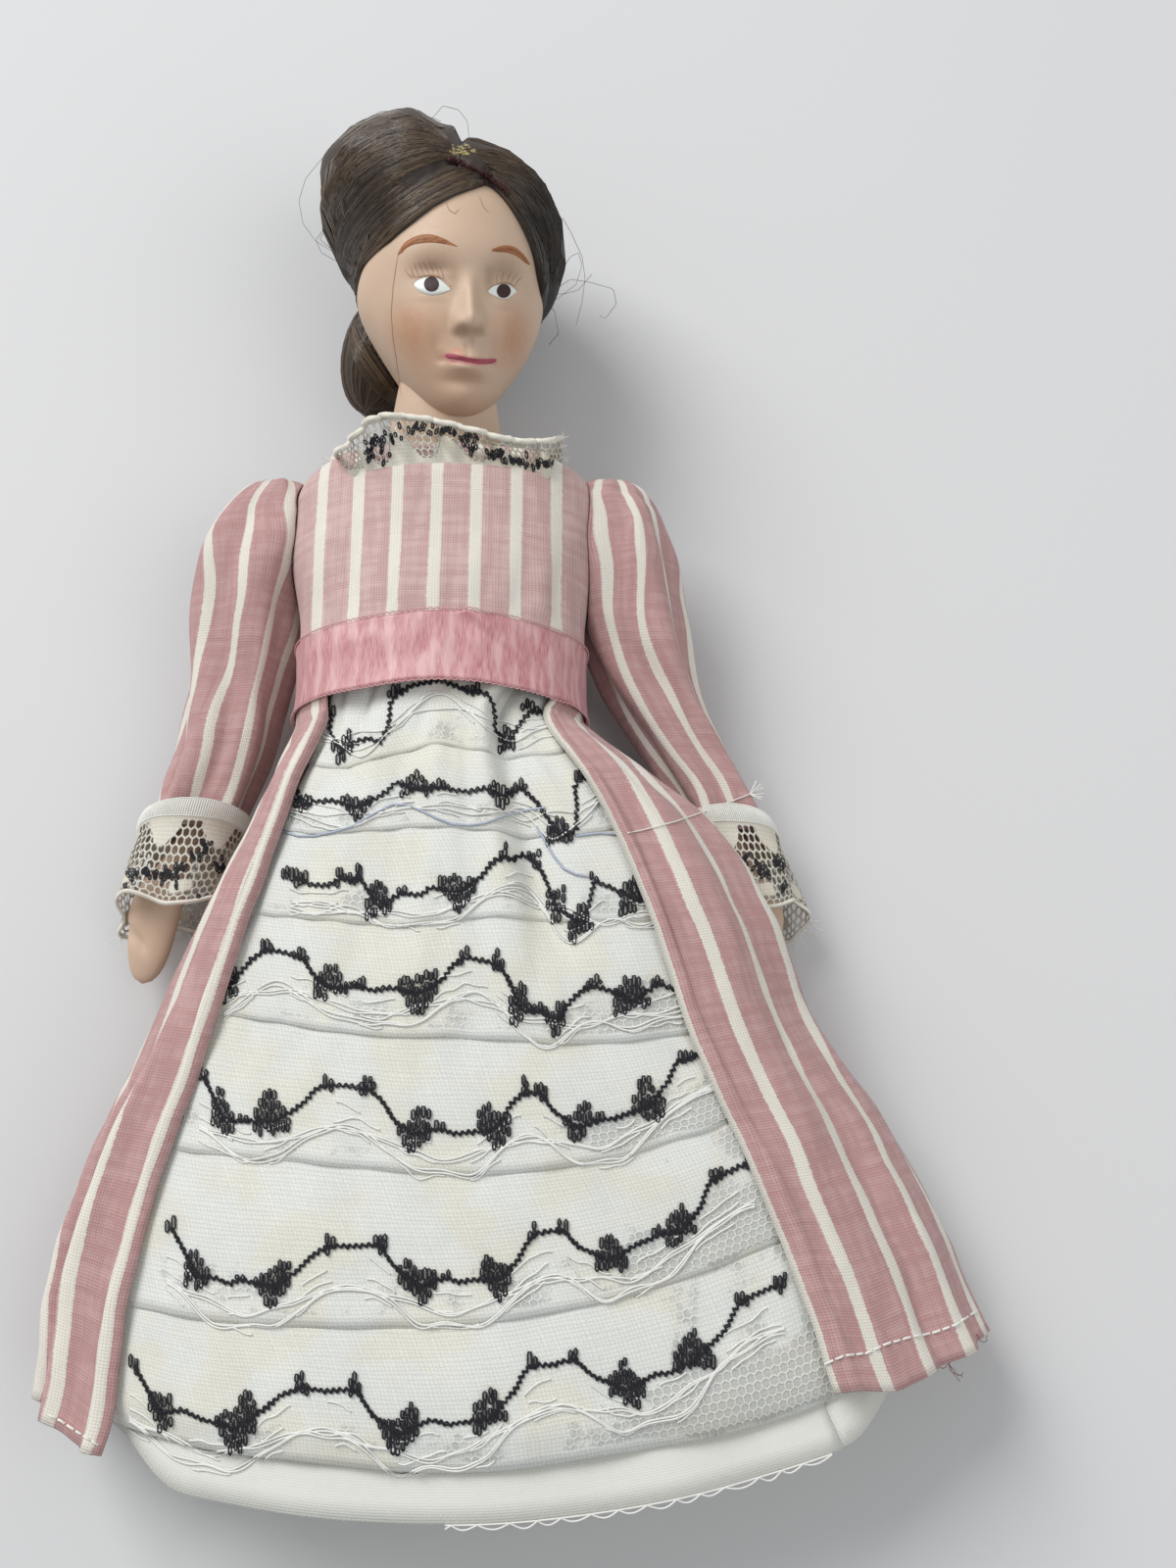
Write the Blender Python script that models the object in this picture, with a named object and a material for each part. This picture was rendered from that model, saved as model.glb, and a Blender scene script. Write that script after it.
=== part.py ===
"""Small porcelain doll in a striped cotton dress, lying on its back.

Lengths are in millimetres here and become metres when a mesh is written.
+Y runs from the hem to the crown, +X to the doll's left hand, +Z up from the
surface it lies on. Each layer of clothing is the same section pushed outward
by a named amount, so a change of one size carries through the layers.
"""
import math

import bmesh
import bpy
from mathutils import Matrix, Vector

for old in list(bpy.data.objects):
    bpy.data.objects.remove(old, do_unlink=True)

MM = 0.001
FIT = 0.35                  # least clearance between two pieces
MERGE = 0.04                # points closer than this become one

# Head, neck and shoulder plate, one bisque casting.
HEAD_WIDTH = 26.4
HEAD_ABOVE = 17.6           # eyes to crown
HEAD_BELOW = 18.6           # eyes to chin
FACE_DEPTH = 12.6
HEAD_BACK = 13.6
HEAD_CENTRE = Vector((-10.3, 69.3, 25.0))
HEAD_BOW = 25.0             # chin toward the chest, degrees
HEAD_TURN = 13.5            # face toward the doll's left, degrees
HEAD_TILT = 3.3
NOSE_RISE = 2.9
NECK_RADIUS = 6.3
PLATE_HALF_WIDTH = 16.5
PLATE_HALF_DEPTH = 10.4
PLATE_WALL = 1.6

# Hair.
HAIR_HALF_WIDTH = 18.6
HAIR_HALF_LENGTH = 23.5
HAIR_HALF_DEPTH = 20.0
HAIR_EDGE = 1.0
CHIGNON_RADIUS = 6.2

# Body under the dress.
BODY_X = -11.5
BODY_Z = 16.8
WAIST_HALF_WIDTH = 16.9
WAIST_HALF_DEPTH = 10.4
ARM_RADIUS = 2.9
LEG_RADIUS = 3.9

# Dress.
CLOTH = 0.4
LACE = 0.35
WAIST_Y = 9.5
HEM_Y = -95.0
HEM_SLOPE = 0.065
HEM_SAG = 0.0034
UNDER_REACH = 1.047         # underskirt length over overskirt length
UNDER_EASE = 0.9            # how much closer to the legs the underskirt hangs
HEM_HALF_WIDTH = 62.0
HEM_HEIGHT = 22.0
FOLD_DEPTH = 1.1
LAYER_STEP = 0.8            # from one layer's face to the next one's
BODICE_HALF_WIDTH = 22.4
BODICE_HALF_DEPTH = 12.9
SHOULDER_Y = 37.5
NECK_RISE = 6.4
NECKLINE = 0.74             # neck opening over the width of the bodice
SLEEVE_RADIUS = 7.9
WRIST_RADIUS = 6.3
SASH_WIDTH = 10.0
SASH_THICK = 0.45
TIER_SCALLOP = 1.3
COLLAR_WIDTH = 6.0

SKIN = "bisque"
FINISHES = {
    "bisque": (0.80, 0.62, 0.51, 0.55),
    "hair_fibre": (0.045, 0.03, 0.022, 0.35),
    "body_cloth": (0.78, 0.74, 0.66, 0.9),
    "striped_cotton": (0.72, 0.36, 0.38, 0.85),
    "white_cotton": (0.82, 0.82, 0.79, 0.85),
    "lace": (0.86, 0.85, 0.80, 0.85),
    "satin_ribbon": (0.80, 0.33, 0.36, 0.35),
}

collection = bpy.data.collections.new("porcelain_doll")
bpy.context.scene.collection.children.link(collection)
cutters = bpy.data.collections.new("cutters")
bpy.context.scene.collection.children.link(cutters)


def material(node, finish):
    """Give each node its own Principled material in its finish's colour."""
    made = bpy.data.materials.new(node + "_" + finish)
    made.use_nodes = True
    shader = made.node_tree.nodes["Principled BSDF"]
    red, green, blue, rough = FINISHES[finish]
    shader.inputs["Base Color"].default_value = (red, green, blue, 1.0)
    shader.inputs["Roughness"].default_value = rough
    made.diffuse_color = (red, green, blue, 1.0)
    return made


def smooth(edge0, edge1, value):
    """Ramp from 0 to 1 with level ends."""
    part = min(1.0, max(0.0, (value - edge0) / (edge1 - edge0)))
    return part * part * (3.0 - 2.0 * part)


def bump(value, centre, width):
    """Bell of height 1."""
    return math.exp(-((value - centre) / width) ** 2)


def follow(stations, value):
    """Read a smooth profile through a few evenly spaced stations."""
    last = len(stations) - 1
    place = min(max(value, 0.0), 1.0) * last
    first = min(int(place), last - 1)
    part = place - first
    before = stations[max(first - 1, 0)]
    start = stations[first]
    end = stations[first + 1]
    after = stations[min(first + 2, last)]
    slope_a = (end - before) / 2.0
    slope_b = (after - start) / 2.0
    square = part * part
    cube = square * part
    return ((2 * cube - 3 * square + 1) * start + (cube - 2 * square + part) * slope_a
            + (3 * square - 2 * cube) * end + (cube - square) * slope_b)


def keep(bm, name, finish, group=None):
    """Turn a bmesh into a named object with its material."""
    bmesh.ops.dissolve_degenerate(bm, dist=1e-7, edges=bm.edges[:])
    bmesh.ops.recalc_face_normals(bm, faces=bm.faces[:])
    mesh = bpy.data.meshes.new(name)
    bm.to_mesh(mesh)
    bm.free()
    made = bpy.data.objects.new(name, mesh)
    (group or collection).objects.link(made)
    if finish:
        mesh.materials.append(material(name, finish))
    if group is cutters:
        made.hide_render = True
        made.display_type = "WIRE"
    return made


def mapped(columns, rows, place, around):
    """A grid laid on a surface; its two parameters stay with each vertex."""
    bm = bmesh.new()
    across = bm.verts.layers.float.new("across")
    along = bm.verts.layers.float.new("along")
    bmesh.ops.create_grid(bm, x_segments=columns, y_segments=rows, size=0.5)
    for vert in bm.verts:
        vert[across] = vert.co.x + 0.5
        vert[along] = vert.co.y + 0.5
    for vert in bm.verts:
        vert.co = Vector(place(vert[across], vert[along])) * MM
    if around:
        bmesh.ops.remove_doubles(bm, verts=bm.verts[:], dist=2e-6)
    return bm, across, along


def shell(name, finish, columns, rows, inner, outer, around=True, group=None):
    """Sheet with two faces, each laid by its own function."""
    bm, across, along = mapped(columns, rows, inner, around)
    made = bmesh.ops.extrude_face_region(bm, geom=bm.faces[:])
    for vert in [item for item in made["geom"] if isinstance(item, bmesh.types.BMVert)]:
        vert.co = Vector(outer(vert[across], vert[along])) * MM
    return keep(bm, name, finish, group)


def solid(name, finish, columns, rows, place, group=None):
    """Closed body laid by one function, its open ends filled."""
    bm, across, along = mapped(columns, rows, place, True)
    ends = bmesh.ops.holes_fill(bm, edges=bm.edges[:], sides=0)["faces"]
    bmesh.ops.triangulate(bm, faces=ends)
    return keep(bm, name, finish, group)


def combine(target, tool, operation):
    """Apply one exact Boolean, drop its tool and merge what nearly coincides."""
    step = target.modifiers.new(operation.lower(), "BOOLEAN")
    step.operation = operation
    step.solver = "EXACT"
    step.object = tool
    done = bpy.data.meshes.new_from_object(
        target.evaluated_get(bpy.context.evaluated_depsgraph_get()))
    target.modifiers.clear()
    bm = bmesh.new()
    bm.from_mesh(done)
    bmesh.ops.remove_doubles(bm, verts=bm.verts[:], dist=MERGE * MM)
    bmesh.ops.dissolve_degenerate(bm, dist=MERGE * MM / 4, edges=bm.edges[:])
    bmesh.ops.triangulate(bm, faces=[face for face in bm.faces if len(face.verts) > 4])
    bm.to_mesh(done)
    bm.free()
    old = target.data
    target.data = done
    done.name = old.name
    bpy.data.meshes.remove(old)
    bpy.data.objects.remove(tool, do_unlink=True)


# Head: a ball by azimuth and height, with the features raised on its front.
HEAD_FRAME = (Matrix.Rotation(math.radians(HEAD_BOW), 3, "X")
              @ Matrix.Rotation(math.radians(-HEAD_TILT), 3, "Z")
              @ Matrix.Rotation(math.radians(HEAD_TURN), 3, "Y"))


def head_local(turn, fall):
    """Skin of the head; turn 0 is the face, fall 0 is the crown."""
    side = math.sin(fall) * math.sin(turn)
    rise = math.cos(fall)
    front = math.sin(fall) * math.cos(turn)
    low = smooth(0.0, -1.0, rise)
    half = HEAD_WIDTH / 2.0 * (1.0 - 0.28 * low ** 1.3)
    x = half * side
    y = (HEAD_ABOVE if rise > 0 else HEAD_BELOW) * rise
    z = HEAD_BACK * (1.0 - 0.25 * low) * front
    if front > 0:
        z = FACE_DEPTH * math.sin(fall) ** (0.8 if rise > 0 else 0.5) * math.cos(turn)
        face = smooth(0.0, 0.45, z / FACE_DEPTH)
        z += face * 2.5 * low
        ridge = smooth(3.5, -4.6, y) * smooth(-7.2, -5.2, y)
        z += NOSE_RISE * ridge * bump(x, 0.0, 1.5)
        z += 0.8 * bump(x, 1.5, 0.9) * bump(y, -5.2, 1.1)
        z += 0.8 * bump(x, -1.5, 0.9) * bump(y, -5.2, 1.1)
        for eye in (-5.2, 5.2):
            z -= 1.2 * bump(x, eye, 3.0) * bump(y, 0.8, 2.3)
            z += 0.8 * bump(x, eye, 2.1) * bump(y, -0.1, 1.3)
            z += face * 0.7 * bump(x, eye * 1.3, 4.0) * bump(y, -6.0, 4.0)
        z += face * 0.5 * bump(y, 6.0, 3.0)
        z += 1.1 * bump(x, 0.0, 3.4) * bump(y, -10.6, 2.0)
        z -= 0.45 * bump(x, 0.0, 3.0) * bump(y, -10.5, 0.45)
        z -= 0.5 * bump(x, 0.0, 3.0) * bump(y, -13.2, 0.9)
        z += face * 1.1 * bump(x, 0.0, 3.6) * bump(y, -16.2, 2.6)
    return Vector((x, y, z))


def head_point(turn, fall, extra=0.0):
    """Head skin in the doll's frame, pushed outward by extra."""
    local = head_local(turn, fall)
    local += local.normalized() * extra
    return HEAD_CENTRE + HEAD_FRAME @ local


def head_turn(across):
    """Columns are closest together on the face."""
    part = 2.0 * across - 1.0
    return math.pi * (part - 0.22 * math.sin(math.pi * part))


head = solid("head_shoulder_plate", SKIN, 30, 24,
             lambda u, v: head_point(head_turn(u), math.pi * v))


def plate_point(turn, level, extra):
    """Neck and shoulder plate, level 0 at the breast and 1 inside the head."""
    half = follow((PLATE_HALF_WIDTH - 0.8, PLATE_HALF_WIDTH, PLATE_HALF_WIDTH * 0.86,
                   NECK_RADIUS * 1.25, NECK_RADIUS, NECK_RADIUS), level) + extra
    depth = follow((PLATE_HALF_DEPTH, PLATE_HALF_DEPTH, PLATE_HALF_DEPTH * 0.86,
                    NECK_RADIUS, NECK_RADIUS, NECK_RADIUS), level) + extra
    y = follow((26.5, 33.0, 39.0, 42.5, 48.0, 57.0), level) + extra * smooth(0.1, 0.5, level)
    z = BODY_Z + 5.0 * smooth(0.68, 1.0, level)
    return (BODY_X + half * math.cos(turn) + 0.8 * level, y, z + depth * math.sin(turn))


plate = solid("plate_body", None, 24, 9,
              lambda u, v: plate_point(2 * math.pi * u, v, 0.0), cutters)


def hollow_point(turn, level):
    """Room under the plate for the stuffed body, open past the lower edge."""
    spot = Vector(plate_point(turn, 0.62 * level, -PLATE_WALL))
    return spot - Vector((0, 2.0, 0)) if level < 0.01 else spot


hollow = solid("plate_hollow", None, 24, 6,
               lambda u, v: hollow_point(2 * math.pi * u, v), cutters)


def rod(name, start, end, radius, sides, group=cutters, finish=None):
    """Round bar between two points."""
    bm = bmesh.new()
    span = Vector(end) - Vector(start)
    turn = span.to_track_quat("Z", "Y").to_matrix().to_4x4()
    middle = (Vector(start) + Vector(end)) / 2.0 * MM
    bmesh.ops.create_cone(bm, cap_ends=True, segments=sides, radius1=radius * MM,
                          radius2=radius * MM, depth=span.length * MM,
                          matrix=Matrix.Translation(middle) @ turn)
    return keep(bm, name, finish, group)


ARM_Y = 30.5
arch = rod("arch_cut", (BODY_X - 31, ARM_Y - 1.4, BODY_Z - 0.1),
           (BODY_X + 30, ARM_Y - 1.6, BODY_Z + 0.1), ARM_RADIUS + 2.1, 18)
combine(plate, arch, "DIFFERENCE")
combine(head, plate, "UNION")
combine(head, hollow, "DIFFERENCE")


# Body: one stuffed bag from the seat to the shoulders, inside the plate.
def torso_point(turn, level):
    chest = PLATE_HALF_WIDTH - PLATE_WALL - 1.3
    half = follow((13.0, 15.0, WAIST_HALF_WIDTH - 1.2, WAIST_HALF_WIDTH + 1.0, chest,
                   chest * 0.8), level)
    depth = follow((7.0, 8.8, WAIST_HALF_DEPTH - 1.2, WAIST_HALF_DEPTH + 0.2,
                    PLATE_HALF_DEPTH - PLATE_WALL - 0.9, 5.6), level)
    y = follow((-13.0, -6.0, 8.0, 17.0, 27.0, 35.0), level)
    x = BODY_X + half * math.cos(turn)
    return (x, y, BODY_Z + depth * math.sin(turn))


solid("torso", "body_cloth", 16, 7, lambda u, v: torso_point(2 * math.pi * u, v))


# Hair: one wig from the crown to the hairline, dressed up and back.
HAIR_CENTRE = Vector((-12.2, 76.5, HAIR_HALF_DEPTH))


def hair_fall(turn):
    """How far the hair comes down from the crown at each side."""
    reach = (36.0, 42.0, 57.0, 82.0, 116.0, 134.0, 138.0)
    return math.radians(follow(reach, abs(turn) / math.pi))


def hair_inner(across, along):
    turn = head_turn(across)
    return head_point(turn, hair_fall(turn) * along, FIT + 0.6)


def hair_outer(across, along):
    turn = head_turn(across)
    start = hair_inner(across, along)
    ray = (start - HEAD_CENTRE).normalized()
    size = Vector((HAIR_HALF_WIDTH, HAIR_HALF_LENGTH, HAIR_HALF_DEPTH))
    offset = Vector([(HEAD_CENTRE[i] - HAIR_CENTRE[i]) / size[i] for i in range(3)])
    scaled = Vector([ray[i] / size[i] for i in range(3)])
    a, b, c = scaled.dot(scaled), offset.dot(scaled), offset.dot(offset) - 1.0
    reach = (-b + math.sqrt(max(b * b - a * c, 0.0))) / a
    full = max(reach - (start - HEAD_CENTRE).length, HAIR_EDGE)
    roll = smooth(0.0, 0.16, 1.0 - along)
    spot = start + ray * (HAIR_EDGE + (full - HAIR_EDGE) * roll)
    return Vector((spot.x, spot.y, max(spot.z, 0.0)))


wig = shell("wig", "hair_fibre", 32, 7, hair_inner, hair_outer)


def ball(name, centre, radii, turn=0.0, fine=14):
    """Closed ellipsoid used in Booleans."""
    bm = bmesh.new()
    place = (Matrix.Translation(Vector(centre) * MM)
             @ Matrix.Rotation(math.radians(turn), 4, "Z")
             @ Matrix.Diagonal((radii[0], radii[1], radii[2], 1.0)))
    bmesh.ops.create_uvsphere(bm, u_segments=fine, v_segments=fine // 2, radius=MM, matrix=place)
    return keep(bm, name, None, cutters)


chignon = ball("chignon_tool", (-22.8, 62.5, 12.8),
               (CHIGNON_RADIUS, CHIGNON_RADIUS * 1.6, CHIGNON_RADIUS * 1.35), -20)
head_room = solid("head_room", None, 30, 24,
                  lambda u, v: head_point(head_turn(u), math.pi * v, FIT + 0.25), cutters)
neck_room = rod("neck_room", (BODY_X, 44, BODY_Z + 1), (BODY_X + 0.8, 62, BODY_Z + 7),
                NECK_RADIUS + FIT + 0.4, 24)
combine(chignon, head_room, "DIFFERENCE")
combine(chignon, neck_room, "DIFFERENCE")
combine(wig, chignon, "UNION")


# Skirt: every layer is this surface, pushed outward by its own amount.
# across 0 to FRONT spans the open front from the doll's left to its right.
FRONT = 0.4
SASH_ZONE = 0.065           # share of the length that the sash holds in
ROW_COUNT = 9
ROWS = [0.0] + [SASH_ZONE + (1.0 - SASH_ZONE) * (i / ROW_COUNT) ** 1.15
                for i in range(ROW_COUNT + 1)] + [UNDER_REACH]
LAYERS_AT_BACK = LAYER_STEP + CLOTH
LEFT_BULGE = (0.0, 9.0, 9.0, 5.5, 6.0, 4.0, 0.0)
RIGHT_BULGE = (0.0, 1.0, 2.6, 4.4, 6.2, 4.6, 0.0)
SIDE_HEIGHT = (BODY_Z, 18.0, 16.4, 10.8, 7.0, 5.4, 4.4)
TOP_HEIGHT = (BODY_Z + WAIST_HALF_DEPTH, 27.4, 27.0, 26.0, 24.8, 23.4, HEM_HEIGHT)


def skirt_angle(across, along):
    """Angle round the section; both front edges keep their own line."""
    edge_left = math.radians(51.0 - 31.0 * math.exp(-along / 0.06))
    edge_right = math.radians(138.0 + 2.0 * along)
    across = across % 1.0
    if across <= FRONT:
        return edge_left + (edge_right - edge_left) * across / FRONT
    back = (across - FRONT) / (1.0 - FRONT)
    back -= 0.55 * math.sin(2 * math.pi * back) / (2 * math.pi)
    return edge_right + (edge_left + 2 * math.pi - edge_right) * back


def rows_between(top, bottom):
    """The common rows from top to bottom, so that all layers run parallel."""
    return [top] + [row for row in ROWS if top + 0.004 < row < bottom - 0.004] + [bottom]


def at_row(rows, along):
    """Place of an even grid row in a list of rows."""
    return rows[round(along * (len(rows) - 1))]


def skirt_point(across, along, extra):
    """Point of the section at a common row, or on the line between two."""
    after = next((i for i, row in enumerate(ROWS) if row >= along - 1e-9), len(ROWS) - 1)
    if after == 0 or abs(ROWS[after] - along) < 1e-6:
        return section_point(across, ROWS[after], extra)
    part = (along - ROWS[after - 1]) / (ROWS[after] - ROWS[after - 1])
    return section_point(across, ROWS[after - 1], extra).lerp(
        section_point(across, ROWS[after], extra), part)


def section_point(across, along, extra):
    angle = skirt_angle(across, along)
    side, rise = math.cos(angle), math.sin(angle)
    flare = max(0.0, along - SASH_ZONE) / (1.0 - SASH_ZONE)
    half = WAIST_HALF_WIDTH + (HEM_HALF_WIDTH - WAIST_HALF_WIDTH) * flare
    bulge = follow(LEFT_BULGE if side > 0 else RIGHT_BULGE, flare) * abs(side)
    if rise < 0:
        bulge *= max(0.0, 1.0 + 3.5 * rise) if along < 0.5 else 1.0 + rise * 0.6
        under_arm = smooth(SASH_ZONE, 0.16, along) * (1.0 - smooth(0.35, 0.6, along))
        half *= 1.0 - 0.22 * smooth(0.0, 0.5, -rise) * under_arm
    x = BODY_X * (1.0 - flare) + (half + bulge + extra) * side
    hem_x = HEM_HALF_WIDTH * side
    hem = HEM_Y + HEM_SLOPE * hem_x + HEM_SAG * hem_x ** 2
    y = WAIST_Y + (hem - WAIST_Y) * along
    middle = follow(SIDE_HEIGHT, flare)
    if rise >= 0:
        top = follow(TOP_HEIGHT, flare) + extra
        z = middle + (top - middle) * rise ** (1.0 - 0.3 * flare)
    else:
        sunk = smooth(SASH_ZONE, 0.28, along)
        lift = (BODY_Z - WAIST_HALF_DEPTH - LAYERS_AT_BACK) * (1.0 - sunk)
        floor = lift + LAYERS_AT_BACK - extra
        flat = smooth(0.08, 0.3, along)
        z = middle - (middle - floor + flat) * (-rise) ** (1.0 - 0.5 * flat)
        z = max(z, floor)
    return Vector((x, y, z))


def front_fullness(along):
    """Height of the front folds, most just under the sash."""
    start = smooth(SASH_ZONE - 0.01, 0.17, along)
    return FOLD_DEPTH * start * (0.35 + 0.65 * math.exp(-along / 0.4))


def front_fold(across, along):
    """Fullness of the lace front, with one deep pleat at the doll's left."""
    part = across / FRONT
    wave = 0.5 + 0.5 * math.cos(2 * math.pi * (4.0 * part + 0.15 * math.sin(9 * along)))
    pleat = bump(part, 0.2, 0.07) * (1.0 - smooth(0.15, 0.35, along))
    fade = math.exp(-along / 0.4)
    return front_fullness(along) * (1.0 - fade * (1.0 - wave * (1.0 - pleat)))


def front_sheet(across, along, extra):
    return skirt_point(across, along, extra + front_fold(across, along))


def side_fold(across, along):
    """Gathers of the overskirt, deepest at the waist and open at the hem."""
    back = (across - FRONT) / (1.0 - FRONT)
    wave = 0.5 - 0.5 * math.cos(2 * math.pi * 7.0 * back)
    reach = smooth(SASH_ZONE, 0.15, along) * (0.45 + 0.55 * math.exp(-along / 0.5))
    level = 1.0 - smooth(0.22, 0.4, back) * smooth(0.78, 0.6, back)
    return FOLD_DEPTH * wave * reach * level


def over_sheet(across, along, extra):
    edge = min(abs(across - FRONT), abs(1.0 - across))
    near = 1.0 - smooth(0.05, 0.13, edge)
    held = 1.0 - smooth(SASH_ZONE, 0.2, along)
    lift = max(near, held) * 3 * LAYER_STEP
    cover = near * front_fullness(along)
    return skirt_point(across, along, extra + lift + cover + side_fold(across, along))


MARGIN = 0.04


def strip(name, finish, columns, rows, face, depth, around=False):
    """Sheet of the skirt between two rows, its lower face from face(u, v, 0)."""
    shell(name, finish, columns, len(rows) - 1,
          lambda u, v: face(u, at_row(rows, v), 0.0),
          lambda u, v: face(u, at_row(rows, v), depth), around)


def under_face(across, along, extra):
    """The underskirt's hem rises inside the overskirt at both sides."""
    side = abs(math.cos(skirt_angle(across, 1.0)))
    rise = 1.0 - 0.055 * smooth(0.62, 0.85, side)
    ease = UNDER_EASE * (0.25 + 0.75 * smooth(0.08, 0.2, along))
    return skirt_point(across, along * rise, extra - ease)


def panel_face(across, along, extra):
    return skirt_point(-MARGIN + (FRONT + 2 * MARGIN) * across, along, LAYER_STEP + extra)


def over_face(across, along, extra):
    return over_sheet(FRONT + (1.0 - FRONT) * across, along, LAYER_STEP + extra)


strip("underskirt", "white_cotton", 25, rows_between(0.0, UNDER_REACH), under_face, CLOTH, True)
strip("front_panel", "white_cotton", 12, rows_between(0.012, 1.012), panel_face, CLOTH)
strip("overskirt", "striped_cotton", 30, rows_between(0.0, 1.0), over_face, CLOTH)

# Lace tiers, sewn along their tops, each hanging over the next one's seam.
CHAIN_ROWS = (0.045, 0.185, 0.312, 0.43, 0.594, 0.763, 0.925)
TIER_LAP = 0.024


def tier_face(top, bottom):
    def face(across, along, extra):
        spot = -0.02 + (FRONT + 0.04) * across
        part = (along - top) / (bottom - top)
        scallop = 0.01 * TIER_SCALLOP * math.cos(8 * math.pi * across) * smooth(0.9, 1.0, part)
        over_next = smooth(bottom - 2.2 * TIER_LAP, bottom - 1.3 * TIER_LAP, along)
        lift = 2 * LAYER_STEP + LAYER_STEP * over_next
        return front_sheet(spot, along + scallop, extra + lift)
    return face


top = 0.014
for count, row in enumerate(CHAIN_ROWS):
    following = CHAIN_ROWS[count + 1] if count + 1 < len(CHAIN_ROWS) else 1.05
    bottom = row + 0.45 * (following - row)
    bend = [bottom - 2.2 * TIER_LAP, bottom - 1.3 * TIER_LAP]
    rows = [row for row in rows_between(top, bottom)
            if min(abs(row - bend[0]), abs(row - bend[1])) > 0.009] + bend
    strip("lace_tier_%d" % (count + 1), "lace", 18, sorted(rows), tier_face(top, bottom), LACE)
    top = bottom - TIER_LAP


# Bodice: from the waist over the square shoulders to the neckline.
BODICE_Y = 10.5
SASH_LIFT = 4 * LAYER_STEP + CLOTH + FIT


def bodice_point(turn, level, extra):
    close = max(0.0, (level - 0.66) / 0.34) * math.pi / 2.0
    draw = 1.0 - (1.0 - NECKLINE) * (1.0 - math.cos(close))
    draw_front = 1.0 - (1.02 - NECKLINE) * (1.0 - math.cos(close))
    chest = smooth(0.18, 0.5, level)
    snug = SASH_LIFT - FIT - CLOTH
    half = (WAIST_HALF_WIDTH + snug) * (1.0 - chest) + (BODICE_HALF_WIDTH - CLOTH) * chest
    depth = (WAIST_HALF_DEPTH + snug) * (1.0 - chest) + (BODICE_HALF_DEPTH - CLOTH) * chest
    push = extra * math.cos(close)
    y = BODICE_Y + (SHOULDER_Y - BODICE_Y) * min(level / 0.66, 1.0)
    y += (NECK_RISE + extra) * math.sin(close)
    square = 1.0 - 0.18 * chest
    x = math.copysign(abs(math.cos(turn)) ** square, math.cos(turn))
    return Vector((BODY_X + (half * draw + push) * x, y,
                   BODY_Z + (depth * draw_front + push) * math.sin(turn)))


bodice = shell("bodice", "striped_cotton", 28, 6,
               lambda u, v: bodice_point(2 * math.pi * u, v, 0.0),
               lambda u, v: bodice_point(2 * math.pi * u, v, CLOTH))
combine(bodice, rod("armholes", (BODY_X - 41, ARM_Y, BODY_Z - 0.6),
                    (BODY_X + 40, ARM_Y + 0.1, BODY_Z - 0.7), ARM_RADIUS + 0.8, 18), "DIFFERENCE")


def sash_point(turn, level, extra):
    half = WAIST_HALF_WIDTH + SASH_LIFT + extra
    depth = WAIST_HALF_DEPTH + SASH_LIFT + extra
    y = SASH_BOTTOM + SASH_WIDTH * level + 0.8 * math.sin(turn) - 0.8
    flare = 0.25 * (2 * level - 1) ** 2
    return (BODY_X + (half + flare) * math.cos(turn), y,
            BODY_Z + (depth + flare) * math.sin(turn))


SASH_BOTTOM = 5.6
shell("sash_ribbon", "satin_ribbon", 32, 2,
      lambda u, v: sash_point(2 * math.pi * u, v, 0.0),
      lambda u, v: sash_point(2 * math.pi * u, v, SASH_THICK))


# Collar: a gathered frill on the bodice round the neckline.
def collar_face(extra):
    def place(across, along):
        turn = 2 * math.pi * across
        level = 1.0 - COLLAR_WIDTH / 38.0 * (1.0 - along)
        frill = 0.35 + 0.35 * math.cos(12 * turn)
        rise = 1.6 * smooth(0.6, 1.0, along) * (1.0 - max(0.0, math.sin(turn)))
        spot = bodice_point(turn, level, CLOTH + FIT + frill * (1.2 - along) + extra)
        return (spot.x, spot.y + rise, spot.z)
    return place


shell("collar_lace", "lace", 32, 2, collar_face(0.0), collar_face(LACE))


# Arms and sleeves. hand is +1 on the doll's left, which is +X.
def arm_line(side, level):
    """Middle of the sleeve from the cap to the end of the cuff."""
    if side > 0:
        x = follow((14.2, 16.0, 17.3, 19.4, 24.8, 31.6, 36.2), level)
        z = follow((16.5, 16.0, 14.4, 11.6, 8.8, 7.0, 6.2), level)
    else:
        x = follow((-37.2, -39.4, -41.0, -41.6, -43.8, -47.6, -49.4), level)
        z = follow((16.5, 16.0, 14.6, 12.4, 10.6, 8.8, 7.6), level)
    return Vector((x, follow((44.0, 36.0, 26.0, 14.0, 2.0, -10.0, -22.0), level), z))


SLEEVE_END = 5.0 / 6.0


def sleeve_face(side, extra):
    def place(across, along):
        turn = 2 * math.pi * across
        cap = min(1.0, along / 0.16)
        dome = math.sqrt(max(0.0, 1.0 - (1.0 - cap) ** 2)) * (0.66 + 0.34 * smooth(0.0, 0.4, along))
        narrow = 0.92 if side > 0 else 1.0
        radius = SLEEVE_RADIUS + (WRIST_RADIUS * narrow - SLEEVE_RADIUS) * smooth(0.35, 1.0, along)
        fold = 0.4 * math.cos(5 * turn + 2.0 * along) * smooth(0.1, 0.3, along)
        wide = (radius + fold + extra) * dome
        spot = arm_line(side, SLEEVE_END * along)
        return (spot.x + wide * math.cos(turn),
                spot.y + extra * (1.0 - cap) + 0.6 * cap * math.sin(turn),
                spot.z + 0.86 * wide * math.sin(turn))
    return place


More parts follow.
